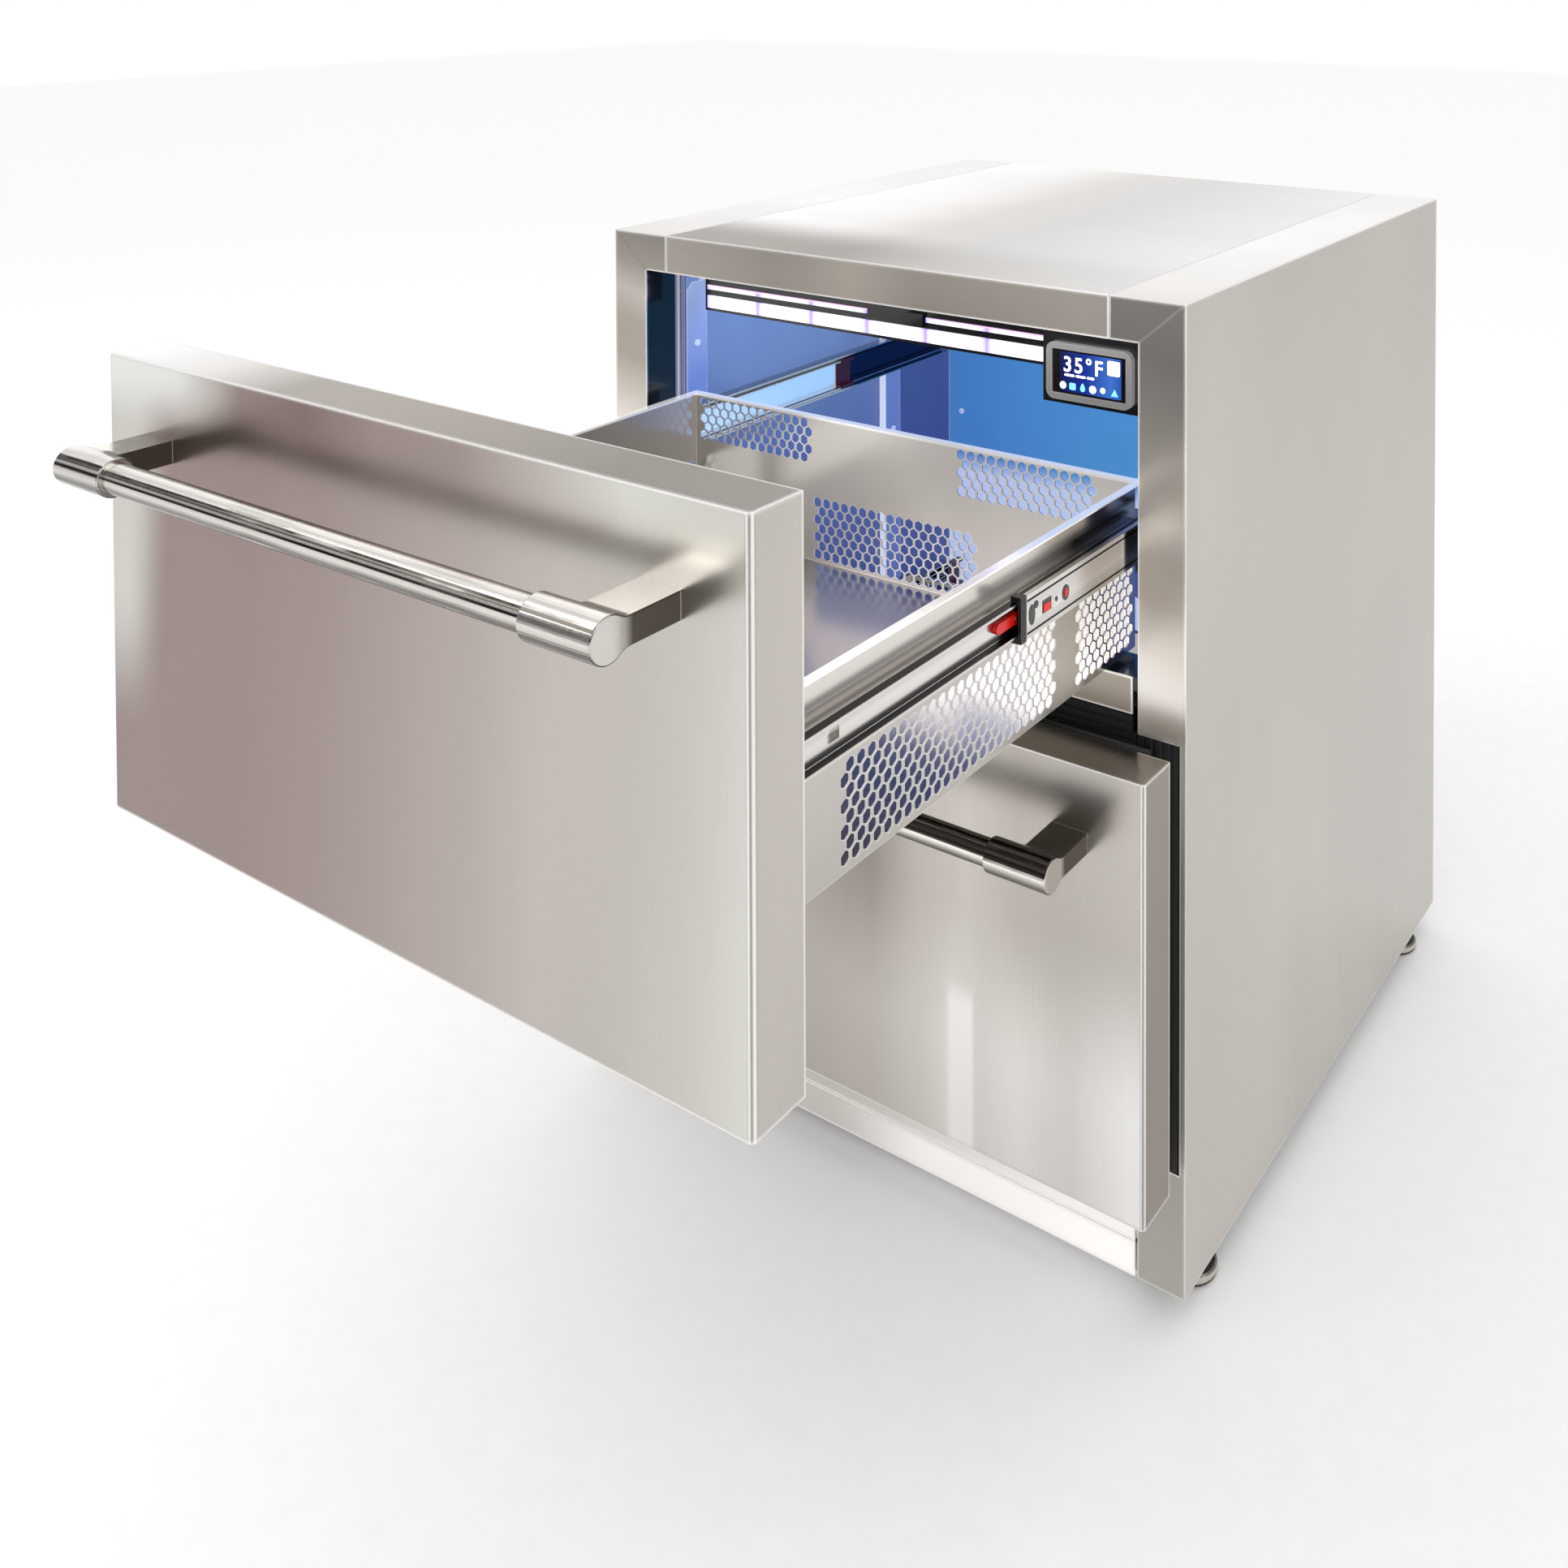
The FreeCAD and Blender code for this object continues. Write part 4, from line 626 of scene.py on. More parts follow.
def liner_tone(shader):
    # painted blue light: paler higher up, darker at the back
    by_height = shader.ramp(cloudy(shader, UP), tones(
        (0.35, 58, 74, 132), (0.55, 78, 98, 160), (0.70, 110, 136, 184), (0.83, 120, 148, 196),
    ))
    behind = shader.span(shader.along(DEPTH), 0.38, 0.43, 0.0, 0.85)
    return shader.mix(behind, by_height, tone(60, 76, 140))


def cover_tone(shader):
    # painted blue light, paler to the right, with a painted pale patch low down
    by_width = shader.ramp(cloudy(shader, ACROSS), tones(
        (-0.25, 74, 132, 198), (0.05, 80, 154, 212), (0.27, 100, 176, 226),
    ))
    low = shader.span(shader.along(UP), 0.495, 0.470, 0.0, 0.9)
    return shader.mix(low, by_width, tone(204, 218, 250))


def post_tone(shader):
    """Slide posts in painted blue light, paler higher up; the front faces of the rear pair carry the
    brightest painted highlight.
    """
    by_height = shader.ramp(cloudy(shader, UP, 0.02), tones(
        (0.40, 84, 104, 172), (0.70, 112, 138, 205), (0.815, 176, 192, 232),
    ))
    front = shader.span(shader.facing(AHEAD), 0.6, 0.9)
    rear_post = shader.span(shader.along(DEPTH), 0.30, 0.34)
    return shader.mix(shader.product(front, rear_post), by_height, tone(224, 232, 250))


def screw_tone(shader):
    # painted blue light, paler higher up
    return shader.ramp(cloudy(shader, UP), tones((0.30, 120, 140, 196), (0.80, 206, 222, 248)))


def trim_tone(shader):
    """Ribbed strip in the jamb: thin pale painted highlights on the ribs, tinted by the blue light, between
    black grooves.
    """
    return shader.ramp(shader.along(DEPTH), tones(
        (0.0413, 24, 22, 40), (0.0432, 150, 150, 196), (0.0446, 20, 18, 34), (0.0470, 236, 238, 250),
        (0.0482, 30, 28, 50), (0.0510, 120, 124, 180), (0.0530, 34, 34, 60), (0.0560, 88, 100, 168),
    ))


LAMP_PITCH = 0.072
LAMP_ROW = 7


def lamp_windows():
    """Light windows: white, with violet at both ends of each window and a pink top edge."""
    shader = Shader("lamp_window", roughness=0.35)
    shifted = shader.maths("ADD", shader.along(ACROSS), LAMP_PITCH * LAMP_ROW / 2)
    phase = shader.maths("FRACT", shader.product(shifted, 1 / LAMP_PITCH))
    by_width = shader.ramp(phase, tones(
        (0.0, 126, 104, 226), (0.05, 206, 190, 255), (0.12, 255, 252, 255),
        (0.88, 255, 252, 255), (0.95, 206, 190, 255), (1.0, 126, 104, 226),
    ))
    rim = shader.span(shader.along(UP), 0.8165, 0.8185)
    shader.set("Base Color", tone(225, 220, 255))
    shader.glow(shader.mix(rim, by_width, tone(244, 190, 246)), 0.95)
    return shader.material


def screen_glass():
    """Black glass round the lit panel."""
    shader = Shader("screen_glass", roughness=0.06)
    haze = shader.noise(60.0)
    shader.set("Base Color", shader.ramp(haze, tones((0.3, 6, 6, 9), (0.7, 16, 16, 22))))
    shader.set("Roughness", shader.varied(haze, 0.04, 0.12))
    return shader.material


def lit_panel():
    shader = Shader("lit_panel", roughness=0.2)
    sweep = shader.ramp(shader.along(ACROSS), tones(
        (0.218, 8, 12, 70), (0.245, 18, 46, 150), (0.270, 62, 116, 205), (0.281, 40, 84, 176),
    ))
    shader.set("Base Color", tone(5, 8, 30))
    shader.glow(sweep, 1.0)
    return shader.material


def lit_marks(name, colour, strength):
    shader = Shader(name, roughness=0.4)
    flicker = shader.noise(900.0, detail=1.0)
    shader.set("Base Color", colour)
    shader.glow(colour, shader.span(flicker, 0.2, 0.8, strength * 0.9, strength * 1.1))
    return shader.material


def rings_foot():
    """Levelling foot: dark rubber below, bright pressed rim above."""
    shader = Shader("foot_metal", metallic=0.9, roughness=0.2)
    shader.set("Base Color", shader.ramp(shader.along(UP), tones(
        (0.0, 28, 20, 20), (0.0030, 30, 24, 24), (0.0036, 205, 198, 188), (0.0075, 214, 206, 196),
        (0.0085, 110, 106, 102), (0.0100, 96, 92, 88),
    )))
    shader.set("Roughness", shader.varied(shader.noise(300.0), 0.16, 0.34))
    return shader.material


def ends_plastic():
    """Slide ends: a black bumper in front and a dark red catch behind."""
    shader = Shader("slide_end_plastic", roughness=0.35)
    fine = shader.noise(500.0)
    black = shader.ramp(fine, tones((0.3, 10, 10, 11), (0.7, 24, 24, 26)))
    red = shader.ramp(fine, tones((0.3, 70, 16, 30), (0.7, 104, 28, 44)))
    depth = shader.along(DEPTH)
    lower_drawer = shader.span(shader.along(UP), 0.52, 0.50)
    catch = shader.mix(lower_drawer, shader.span(depth, 0.285, 0.290), shader.span(depth, 0.510, 0.515))
    shader.set("Base Color", shader.mix(catch, black, red))
    shader.bump(fine, 0.1)
    return shader.material


def finish_drawers(slides, foam, red):
    ends = ends_plastic()
    basket = steel("basket_steel", basket_tone, grain="y", roughness=0.20, smear=0.04, edge=0.0012,
                   lit=basket_light)
    for name, bands in zip(DRAWERS, (UPPER_HANDLE_REFLECTIONS, LOWER_HANDLE_REFLECTIONS)):
        paint(handle_steel(name, bands), name + "_handle_bar", name + "_handle_brackets")
        paint(basket, name + "_basket")
        paint(slides, name + "_drawer_slides", name + "_middle_slides")
        paint(ends, name + "_slide_ends")
        paint(red, name + "_release_levers")
        paint(foam, name + "_front_core")


def finish_inside():
    paint(inside("screw_heads", screw_tone, 0.8), "inside_screws")
    paint(inside("liner_blue", liner_tone), "inner_liner")
    paint(inside("cover_blue", cover_tone), "fan_cover")
    paint(inside("post_blue", post_tone), "slide_posts")
    paint(inside("trim_lines", trim_tone, 0.6), "jamb_trims")


def finish_nodes():
    """Every CAD node gets its material, and the soft or small parts get their own meshes."""
    slides = steel("slide_steel", slide_tone, grain="y", roughness=0.2, edge=0.0018, shade=0.7,
                   lit=slide_light)
    foam = moulded("foam", tone(226, 214, 170), 0.85)
    black = moulded("black_plastic", tone(14, 14, 16), 0.22, coat=0.4)
    red = moulded("red_plastic", tone(214, 24, 16), 0.30)
    rubber = moulded("seal_rubber", tone(20, 20, 22), 0.6)
    zinc = galvanised()
    folded_steel()
    finish_drawers(slides, foam, red)
    finish_inside()
    paint(slides, "cabinet_slides")
    paint(black, "opening_breakers", "light_housing", "display_housing", "fan_motors",
          "evaporator_fan", "condenser_fan", "control_box", "drain_pan")
    paint(zinc, "rear_panel", "rear_grille", "base_tray")
    paint(foam, "foam_insulation")
    paint(steel("coil_aluminium", grey(200, 2), grain="x", roughness=0.35), "evaporator_coil", "condenser")
    paint(moulded("compressor_paint", tone(18, 18, 19), 0.38), "compressor")
    paint(steel("copper_tube", tone(200, 126, 88), grain="y", roughness=0.3), "refrigerant_pipes")
    paint(steel("bezel_metal", grey(196, 2), grain="x", roughness=0.2, edge=0.0014, lit=evenly(0.30)),
          "display_bezel")
    paint(screen_glass(), "display_screen")
    paint(lamp_windows(), "light_windows")
    paint(rings_foot(), "foot_front_left", "foot_front_right", "foot_rear_left", "foot_rear_right")
    paint(rubber, "upper_gasket", "lower_gasket", "lower_face_seal", "power_cord", "compressor_mounts")
    gaskets(rubber)
    face_seal(rubber)
    power_cord(rubber)
    grommets(rubber)
    slide_marks(black, red, slides)
    rear_screws(zinc, black)


# ---------------------------------------------------------------- new pieces


def ride(piece, body):
    """Put a piece in the scene, on a CAD body."""
    scene.collection.objects.link(piece)
    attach(piece, body)
    return piece


def new_piece(name, build, material, body, smooth=False):
    """A mesh piece made by build(bmesh), riding on a CAD body."""
    mesh = bpy.data.meshes.new(name)
    shape = bmesh.new()
    build(shape)
    bmesh.ops.remove_doubles(shape, verts=shape.verts, dist=1e-6)
    bmesh.ops.recalc_face_normals(shape, faces=shape.faces)
    shape.to_mesh(mesh)
    shape.free()
    mesh.materials.append(material)
    for face in mesh.polygons:
        face.use_smooth = smooth
    return ride(bpy.data.objects.new(name, mesh), body)


def band(shape, ring, following):
    """Faces between two closed rings of as many points."""
    count = len(ring)
    for index in range(count):
        after = (index + 1) % count
        shape.faces.new((ring[index], ring[after], following[after], following[index]))


def cap(shape, ring):
    shape.faces.new(list(reversed(ring)))


def swept_frame(shape, corners, profile):
    """Sweep a closed profile round a mitred rectangle in the XZ plane.

    corners is (left, right, bottom, top); profile is a list of (inset, y), inset towards the middle.
    """
    left, right, bottom, top = corners
    rings = []
    for inset, y in profile:
        rings.append([
            shape.verts.new((left + inset, y, bottom + inset)),
            shape.verts.new((right - inset, y, bottom + inset)),
            shape.verts.new((right - inset, y, top - inset)),
            shape.verts.new((left + inset, y, top - inset)),
        ])
    for index, ring in enumerate(rings):
        band(shape, ring, rings[(index + 1) % len(rings)])


GASKET_WIDTH = 0.012


def gasket_profile(front, back):
    """Magnetic door gasket: a flat root, two bellows folds and a rounded sealing bar."""
    outer_side = ((0.90, 0.12), (0.66, 0.20), (0.78, 0.34), (0.94, 0.46), (0.78, 0.58), (0.96, 0.70),
                  (1.00, 0.84), (0.92, 0.97))
    inner_side = ((0.08, 0.97), (0.00, 0.84), (0.04, 0.70), (0.22, 0.58), (0.06, 0.46), (0.22, 0.34),
                  (0.34, 0.20), (0.10, 0.12))
    shares = ((0.10, 0.00), (0.90, 0.00)) + outer_side + ((0.50, 1.00),) + inner_side
    return [(GASKET_WIDTH * across, front + (back - front) * deep) for across, deep in shares]


def gaskets(rubber):
    for name in DRAWERS:
        low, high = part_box(name + "_gasket")
        corners = (low.x, high.x, low.z, high.z)
        profile = gasket_profile(low.y, high.y)

        def build(shape):
            swept_frame(shape, corners, profile)

        piece = new_piece(name + "_gasket_bellows", build, rubber, name + "_drawer", True)
        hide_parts(name + "_gasket")


def prism(shape, outline, start, end, place):
    """Extrude an outline of (a, b) points between two stations; place(a, b, station) gives the point."""
    first = [shape.verts.new(place(a, b, start)) for a, b in outline]
    last = [shape.verts.new(place(a, b, end)) for a, b in outline]
    shape.faces.new(first)
    cap(shape, last)
    band(shape, first, last)


def facing_back(across, rise, station):
    """Place for outlines in the XZ plane, with stations along Y."""
    return (across, station, rise)


RIB_SHAPE = ((0.0, False), (0.12, False), (0.24, True), (0.76, True), (0.88, False))
RIB_HEIGHT = 0.0016


def ribbed_outline(low, high, front, back, ribs):
    """Section of a ribbed rubber strip lying between low and high."""
    groove = front + RIB_HEIGHT
    pitch = (high - low) / ribs
    outline = [(low, back)]
    for number in range(ribs):
        for share, raised in RIB_SHAPE:
            outline.append((low + pitch * (number + share), front if raised else groove))
    return outline + [(high, groove), (high, back)]


FACE_SEAL_INNER = 0.2934
FACE_SEAL_TOP = 0.4998
FACE_SEAL_SILL = 0.478
RAIL_HALF = 0.2898


def face_seal(rubber):
    """Ribbed rubber face round the sides and top of the lower opening."""
    low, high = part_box("lower_face_seal")

    def build(shape):
        for side in (-1, 1):
            outline = ribbed_outline(FACE_SEAL_INNER, high.x, low.y, high.y, 5)
            prism(shape, outline, low.z, FACE_SEAL_TOP,
                  lambda across, depth, station: (side * across, depth, station))
        for bottom, top, half, ribs in ((FACE_SEAL_SILL, FACE_SEAL_TOP, FACE_SEAL_INNER, 3),
                                        (FACE_SEAL_TOP, high.z, RAIL_HALF, 2)):
            outline = ribbed_outline(bottom, top, low.y, high.y, ribs)
            prism(shape, outline, -half, half, lambda rise, depth, station: (station, depth, rise))

    piece = new_piece("face_seal_ribs", build, rubber, "cabinet")
    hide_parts("lower_face_seal")


def circle(centre, first, second, radius, count):
    """Points of a circle spanned by two unit vectors."""
    points = []
    for step in range(count):
        angle = math.tau * step / count
        points.append(centre + (first * math.cos(angle) + second * math.sin(angle)) * radius)
    return points


def tube(shape, centres, radius):
    """A round tube along a list of points, capped at both ends."""
    rings = []
    for index, centre in enumerate(centres):
        before = centres[max(index - 1, 0)]
        after = centres[min(index + 1, len(centres) - 1)]
        heading = (after - before).normalized()
        across = heading.cross(Vector(DEPTH)).normalized()
        lift = across.cross(heading)
        rings.append([shape.verts.new(point) for point in circle(centre, across, lift, radius, 8)])
    for ring, following in zip(rings, rings[1:]):
        band(shape, ring, following)
    shape.faces.new(rings[0])
    cap(shape, rings[-1])


CORD_TURNS = 4
CORD_STEPS = 48
BUNDLE_RADIUS = 0.0045
STRAND_RADIUS = BUNDLE_RADIUS * 0.48
TIE_ANGLES = (0.9, 4.2)
TIE_HALF = 0.003


def power_cord(rubber):
    """Mains lead wound into a hank of four turns that twist round each other, with two ties."""
    low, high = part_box("power_cord")
    middle = (low + high) / 2
    hank = (high.x - low.x) / 2 - BUNDLE_RADIUS
    off_middle = BUNDLE_RADIUS - STRAND_RADIUS

    def wound(turns):
        angle = math.tau * turns
        twist = angle / CORD_TURNS
        reach = hank + off_middle * math.cos(twist)
        depth = off_middle * math.sin(twist)
        return middle + Vector((reach * math.cos(angle), depth, reach * math.sin(angle)))

    def lead(shape):
        count = CORD_STEPS * CORD_TURNS
        tube(shape, [wound(step / CORD_STEPS) for step in range(count + 1)], STRAND_RADIUS)

    def ties(shape):
        for angle in TIE_ANGLES:
            outward = Vector((math.cos(angle), 0, math.sin(angle)))
            along = Vector((-math.sin(angle), 0, math.cos(angle)))
            centre = middle + outward * hank
            rings = []
            for width, shift in ((0.96, -TIE_HALF), (1.12, -TIE_HALF), (1.12, TIE_HALF), (0.96, TIE_HALF)):
                points = circle(centre + along * shift, outward, Vector(DEPTH), BUNDLE_RADIUS * width, 16)
                rings.append([shape.verts.new(point) for point in points])
            for index, ring in enumerate(rings):
                band(shape, ring, rings[(index + 1) % len(rings)])

    piece = new_piece("power_cord_hank", lead, rubber, "cabinet", True)
    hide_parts("power_cord")
    new_piece("power_cord_ties", ties, rubber, "cabinet", True)


def lathe(shape, centre, profile):
    """Turn a profile of (radius, z) points round an upright axis; both ends are closed."""
    rows = []
    for radius, z in profile:
        points = circle(Vector((centre.x, centre.y, z)), Vector(ACROSS), Vector(DEPTH), radius, 28)
        rows.append([shape.verts.new(point) for point in points])
    for row, following in zip(rows, rows[1:]):
        band(shape, row, following)
    cap(shape, rows[0])
    shape.faces.new(rows[-1])


GROMMET_RADIUS = 0.010
GROMMET_SHAPE = (
    (0.0, 0.86), (0.06, 1.0), (0.24, 1.0), (0.32, 0.72), (0.44, 0.72), (0.50, 0.92),
    (0.60, 0.92), (0.66, 0.72), (0.76, 0.72), (0.84, 1.0), (0.95, 1.0), (1.0, 0.86),
)


def grommets(rubber):
    """Four ribbed rubber feet under the compressor."""
    low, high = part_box("compressor_mounts")
    profile = [(GROMMET_RADIUS * width, low.z + (high.z - low.z) * share) for share, width in GROMMET_SHAPE]

    def build(shape):
        for x in (low.x + GROMMET_RADIUS, high.x - GROMMET_RADIUS):
            for y in (low.y + GROMMET_RADIUS, high.y - GROMMET_RADIUS):
                lathe(shape, Vector((x, y, 0)), profile)

    piece = new_piece("compressor_grommets", build, rubber, "cabinet", True)
    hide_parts("compressor_mounts")


def oval(a, b, half_a, half_b, count=16):
    """Outline of an ellipse round (a, b)."""
    step = math.tau / count
    return [(a + half_a * math.cos(step * i), b + half_b * math.sin(step * i)) for i in range(count)]


def tile(a, b, half_a, half_b):
    """Outline of a rectangle round (a, b)."""
    return [(a + half_a * right, b + half_b * up) for right, up in ((-1, -1), (1, -1), (1, 1), (-1, 1))]


MARK_THICKNESS = 0.0004


def slide_marks(black, red, slides):
    """Small clips let into the outer face of each middle slide, behind its front end.

    Each group is a material, its slot, its layer above the slide and its outlines.
    """
    for name in DRAWERS:
        low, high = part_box(name + "_middle_slides")
        front = low.y
        z = (low.z + high.z) / 2
        groups = {
            "black": (black, "black_plastic", 0, [
                oval(front + 0.0075, z, 0.0042, 0.0080),
                oval(front + 0.0135, z + 0.006, 0.0030, 0.0030),
                tile(front + 0.0290, z, 0.0062, 0.0050),
                oval(front + 0.0570, z, 0.0050, 0.0062),
            ]),
            "red": (red, "red_plastic", 1, [
                tile(front + 0.0285, z - 0.0012, 0.0048, 0.0030),
                oval(front + 0.0570, z, 0.0026, 0.0036),
            ]),
            "steel": (slides, "slide_steel", 0, [tile(front + 0.0425, z, 0.0042, 0.0050)]),
            "dot": (black, "black_plastic", 1, [oval(front + 0.0425, z, 0.0016, 0.0020)]),
        }
        for kind, (material, slot_name, layer, outlines) in groups.items():
            start = high.x + layer * MARK_THICKNESS

            def build(shape):
                for side in (-1, 1):
                    for outline in outlines:
                        prism(shape, outline, start, start + MARK_THICKNESS,
                              lambda depth, rise, station: (side * station, depth, rise))

            new_piece(f"{name}_slide_marks_{kind}", build, material, name + "_middle")


SCREW_EDGE = 0.011
SIDE_SCREW_HEIGHTS = (0.26, 0.41, 0.56, 0.71)
SCREW_HEAD = 0.0016


def rear_screws(zinc, black):
    """Cross-head screws round the rear panel and the grille below it."""
    panel_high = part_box("rear_panel")[1]
    grille_low, grille_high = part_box("rear_grille")
    side = panel_high.x - SCREW_EDGE
    places = [(x, panel_high.z - 0.010) for x in (-side, -side / 2, 0.0, side / 2, side)]
    side_heights = SIDE_SCREW_HEIGHTS + (grille_low.z + 0.012, grille_high.z - 0.016)
    places += [(x, z) for x in (-side, side) for z in side_heights]
    face = panel_high.y

    def heads(shape):
        for x, z in places:
            for radius, start, end in ((0.0042, 0.0, 0.0010), (0.0030, 0.0010, SCREW_HEAD)):
                prism(shape, oval(x, z, radius, radius), face + start, face + end, facing_back)

    def slots(shape):
        for x, z in places:
            for half_x, half_z in ((0.0020, 0.0004), (0.0004, 0.0020)):
                prism(shape, tile(x, z, half_x, half_z), face + SCREW_HEAD, face + 0.0018, facing_back)

    new_piece("rear_screws", heads, zinc, "cabinet")
    new_piece("rear_screw_slots", slots, black, "cabinet")


# ---------------------------------------------------------------- display


MARK_SHEET = 0.0003


def rounded_box(left, right, bottom, top, radius):
    """Outline of a rectangle with round corners, anticlockwise from its bottom left."""
    steps = 5
    points = []
    centres = (
        (left + radius, bottom + radius, 180),
        (right - radius, bottom + radius, -90),
        (right - radius, top - radius, 0),
        (left + radius, top - radius, 90),
    )
    for x, z, start in centres:
        for step in range(steps + 1):
            angle = math.radians(start + 90 * step / steps)
            points.append((x + radius * math.cos(angle), z + radius * math.sin(angle)))
    return points


def slab(shape, outline, face, thickness=MARK_SHEET):
    """A thin slab with an outline of (x, z) points, standing in front of a face."""
    prism(shape, outline, face - thickness, face, facing_back)


def drop_outline(x, z, base_z):
    """A water drop: a circle whose upper half is drawn up to a point."""
    points = []
    for a, b in oval(x, z, 0.0025, 0.0025, 18):
        points.append((a, b + max(0.0, b - base_z) * 1.6 * (1 - abs(a - x) / 0.0026)))
    return points


def display():
    """Lit panel behind the glass, with a reading, a tile, three dashes and a row of plain icons."""
    glass_low, glass_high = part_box("display_screen")
    left, right = glass_low.x + 0.008, glass_high.x - 0.005
    bottom, top = glass_low.z + 0.002, glass_high.z - 0.002
    panel_face = glass_low.y
    marks_face = panel_face - MARK_SHEET
    icon_z = bottom + 0.0052
    dash_top = top - 0.0192
    white_outlines = [
        rounded_box(right - 0.0135, right - 0.0012, top - 0.0148, top - 0.0022, 0.0015),
        oval(left + 0.0032, icon_z, 0.0032, 0.0032, 20),
        oval(left + 0.0335, icon_z, 0.0034, 0.0034, 20),
        oval(left + 0.0436, icon_z + 0.0006, 0.0026, 0.0026, 8),
    ]
    for start, end in ((0.0048, 0.0150), (0.0166, 0.0262), (0.0276, 0.0350)):
        white_outlines.append(rounded_box(left + start, left + end, dash_top - 0.0019, dash_top, 0.0008))
    cyan_outlines = [
        rounded_box(left + 0.0098, left + 0.0162, icon_z - 0.0030, icon_z + 0.0030, 0.0012),
        drop_outline(left + 0.0233, icon_z - 0.0008, icon_z),
        [(left + across, icon_z + rise)
         for across, rise in ((0.0520, -0.0028), (0.0588, -0.0028), (0.0554, 0.0034))],
    ]

    def lit_piece(name, outlines, face, material):
        def build(shape):
            for outline in outlines:
                slab(shape, outline, face)

        new_piece(name, build, material, "cabinet")

    white = lit_marks("lit_white", tone(255, 255, 252), 1.6)
    cyan = lit_marks("lit_cyan", tone(110, 200, 245), 1.3)
    lit_piece("display_panel", [rounded_box(left, right, bottom, top, 0.001)], panel_face, lit_panel())
    lit_piece("display_white_marks", white_outlines, marks_face, white)
    lit_piece("display_cyan_marks", cyan_outlines, marks_face, cyan)
    digits(left + 0.0032, top - 0.0170, marks_face, white)


FIGURE_HALF_DEPTH = 0.00015


def digits(x, z, y, material):
    """The temperature reading, as thin solid figures."""
    curve = bpy.data.curves.new("display_reading", "FONT")
    curve.body = "35°F"
    curve.size = 0.0188
    curve.offset = 0.0002
    curve.extrude = FIGURE_HALF_DEPTH
    curve.space_character = 1.2
    maker = bpy.data.objects.new("reading_maker", curve)
    scene.collection.objects.link(maker)
    maker.location = (x, y - FIGURE_HALF_DEPTH, z)
    maker.rotation_euler = (math.radians(90), 0, 0)
    bpy.context.view_layer.update()
    mesh = bpy.data.meshes.new_from_object(maker)
    mesh.transform(maker.matrix_world)
    bpy.data.objects.remove(maker)
    mesh.name = "display_reading"
    mesh.materials.clear()
    mesh.materials.append(material)
    ride(bpy.data.objects.new("display_reading", mesh), "cabinet")


finish_nodes()
display()


# ---------------------------------------------------------------- studio


FLOOR_SIZE = 14
FLOOR_GAP = 0.0005


def studio_floor():
    """Pale floor just below the lowest CAD point."""
    shader = Shader("floor_paint", roughness=0.7)
    fine = shader.noise(40.0, detail=3.0)
    shader.set("Base Color", shader.ramp(fine, greys((0.3, 248, 0), (0.7, 251, 0))))
    mesh = bpy.data.meshes.new("floor")
    shape = bmesh.new()
    bmesh.ops.create_grid(shape, x_segments=4, y_segments=4, size=FLOOR_SIZE)
    shape.to_mesh(mesh)
    shape.free()
    mesh.materials.append(shader.material)
    floor = bpy.data.objects.new("floor", mesh)
    floor.location.z = cad_low.z - FLOOR_GAP
    scene.collection.objects.link(floor)


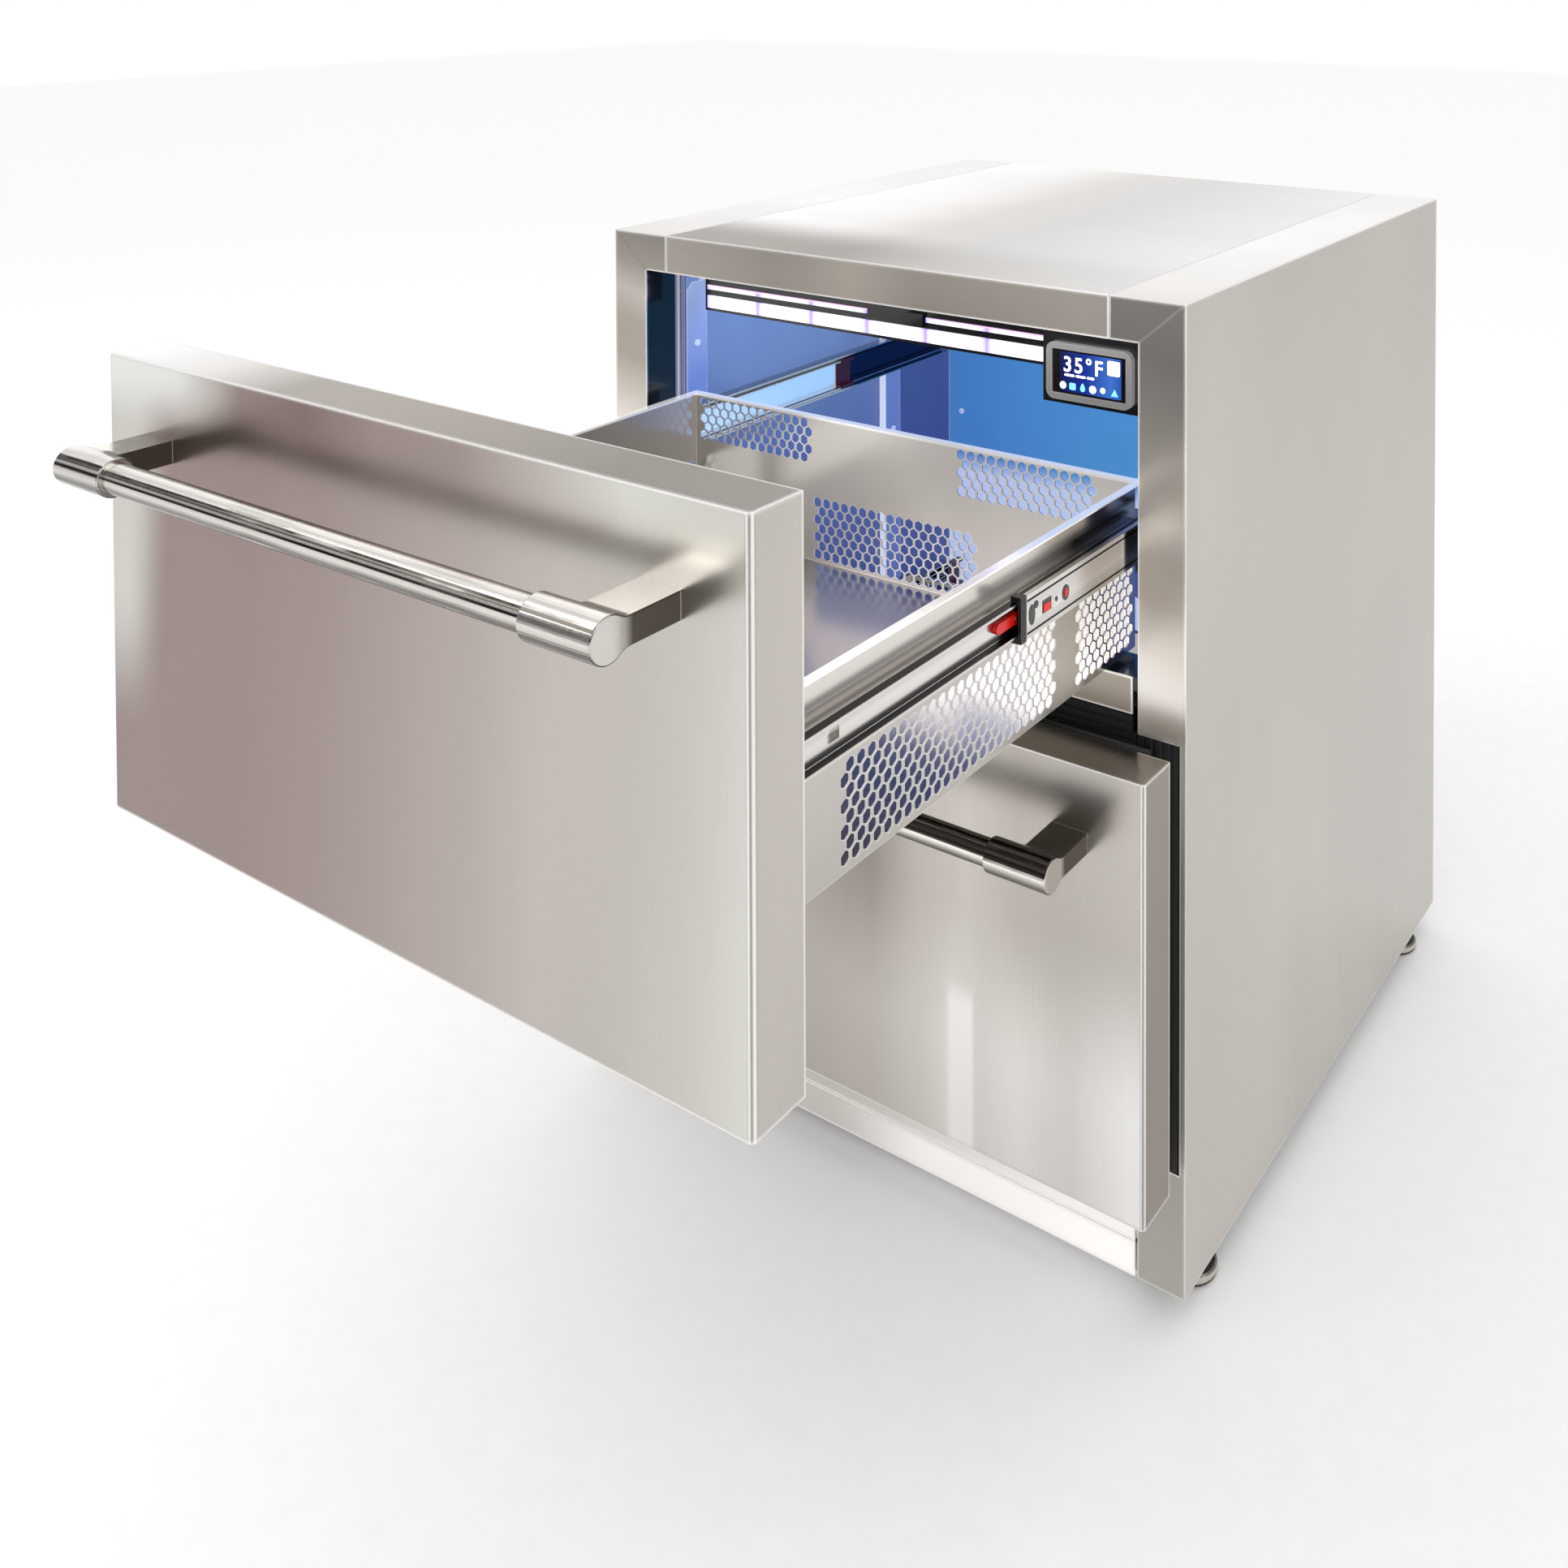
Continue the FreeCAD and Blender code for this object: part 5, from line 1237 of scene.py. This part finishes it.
def studio_world():
    """White surroundings; in reflections the side the camera stands on is darker at eye level."""
    world = bpy.data.worlds.new("studio")
    scene.world = world
    world.use_nodes = True
    tree = world.node_tree
    background = tree.nodes["Background"]
    place = tree.nodes.new("ShaderNodeTexCoord").outputs["Generated"]
    split = tree.nodes.new("ShaderNodeSeparateXYZ")
    tree.links.new(place, split.inputs[0])

    def span(value, low, high):
        node = tree.nodes.new("ShaderNodeMapRange")
        node.interpolation_type = "SMOOTHSTEP"
        tree.links.new(value, node.inputs["Value"])
        node.inputs["From Min"].default_value = low
        node.inputs["From Max"].default_value = high
        return node.outputs["Result"]

    def maths(operation, first, second):
        node = tree.nodes.new("ShaderNodeMath")
        node.operation = operation
        for socket, value in zip(node.inputs, (first, second)):
            if isinstance(value, float):
                socket.default_value = value
            else:
                tree.links.new(value, socket)
        return node.outputs[0]

    near_side = span(split.outputs["Y"], 0.1, -0.5)
    below_lamp = span(split.outputs["Z"], 0.62, 0.40)
    dark = maths("MULTIPLY", near_side, below_lamp)
    change = maths("SUBTRACT", 0.05, maths("MULTIPLY", dark, 0.72))
    glossy = tree.nodes.new("ShaderNodeLightPath").outputs["Is Glossy Ray"]
    strength = maths("ADD", maths("MULTIPLY", change, glossy), 1.0)
    tree.links.new(strength, background.inputs["Strength"])
    background.inputs["Color"].default_value = (1.0, 1.0, 1.0, 1.0)


def area_light(name, location, target, size, power, colour=(1, 1, 1)):
    data = bpy.data.lights.new(name, "AREA")
    data.shape = "RECTANGLE"
    data.size, data.size_y = size
    data.energy = power
    data.color = colour
    lamp = bpy.data.objects.new(name, data)
    scene.collection.objects.link(lamp)
    lamp.location = location
    direction = Vector(target) - Vector(location)
    lamp.rotation_euler = direction.to_track_quat("-Z", "Y").to_euler()
    lamp.visible_camera = False


def studio_lights():
    area_light("key_softbox", (-2.2, -2.4, 3.2), (0, 0, 0.5), (2.4, 2.4), 45)
    area_light("fill_softbox", (3.0, -0.6, 2.0), (0.2, 0.2, 0.5), (2.0, 2.0), 16)
    area_light("inside_lamp", (0.0, 0.075, 0.80), (0.0, 0.40, 0.55), (0.48, 0.03), 1.2, (0.55, 0.62, 1.0))


CAMERA_PLACE = (0.93719, -1.15439, 1.17177)
CAMERA_PITCH = 88.746
CAMERA_TURN = 31.2436
LENS = 35.69
LENS_SHIFTS = (("shift_x", -0.1884), ("shift_y", -0.5092))


def camera():
    """Camera at the photographed angle, with a lens shift that only holds at this place."""
    data = bpy.data.cameras.new("camera")
    data.sensor_width = 36.0
    data.lens = LENS
    eye = bpy.data.objects.new("camera", data)
    scene.collection.objects.link(eye)
    eye.location = CAMERA_PLACE
    eye.rotation_euler = Euler((math.radians(CAMERA_PITCH), 0.0, math.radians(CAMERA_TURN)))
    mark = bpy.data.objects.new("camera_mark", None)
    scene.collection.objects.link(mark)
    mark.location = eye.location
    for field, shift in LENS_SHIFTS:
        setattr(data, field, shift)
        driver = data.driver_add(field).driver
        driver.type = "SCRIPTED"
        gap = driver.variables.new()
        gap.name = "gap"
        gap.type = "LOC_DIFF"
        gap.targets[0].id = eye
        gap.targets[1].id = mark
        driver.expression = f"{shift} if gap < 0.001 else 0.0"
    scene.camera = eye


studio_floor()
studio_world()
studio_lights()
camera()
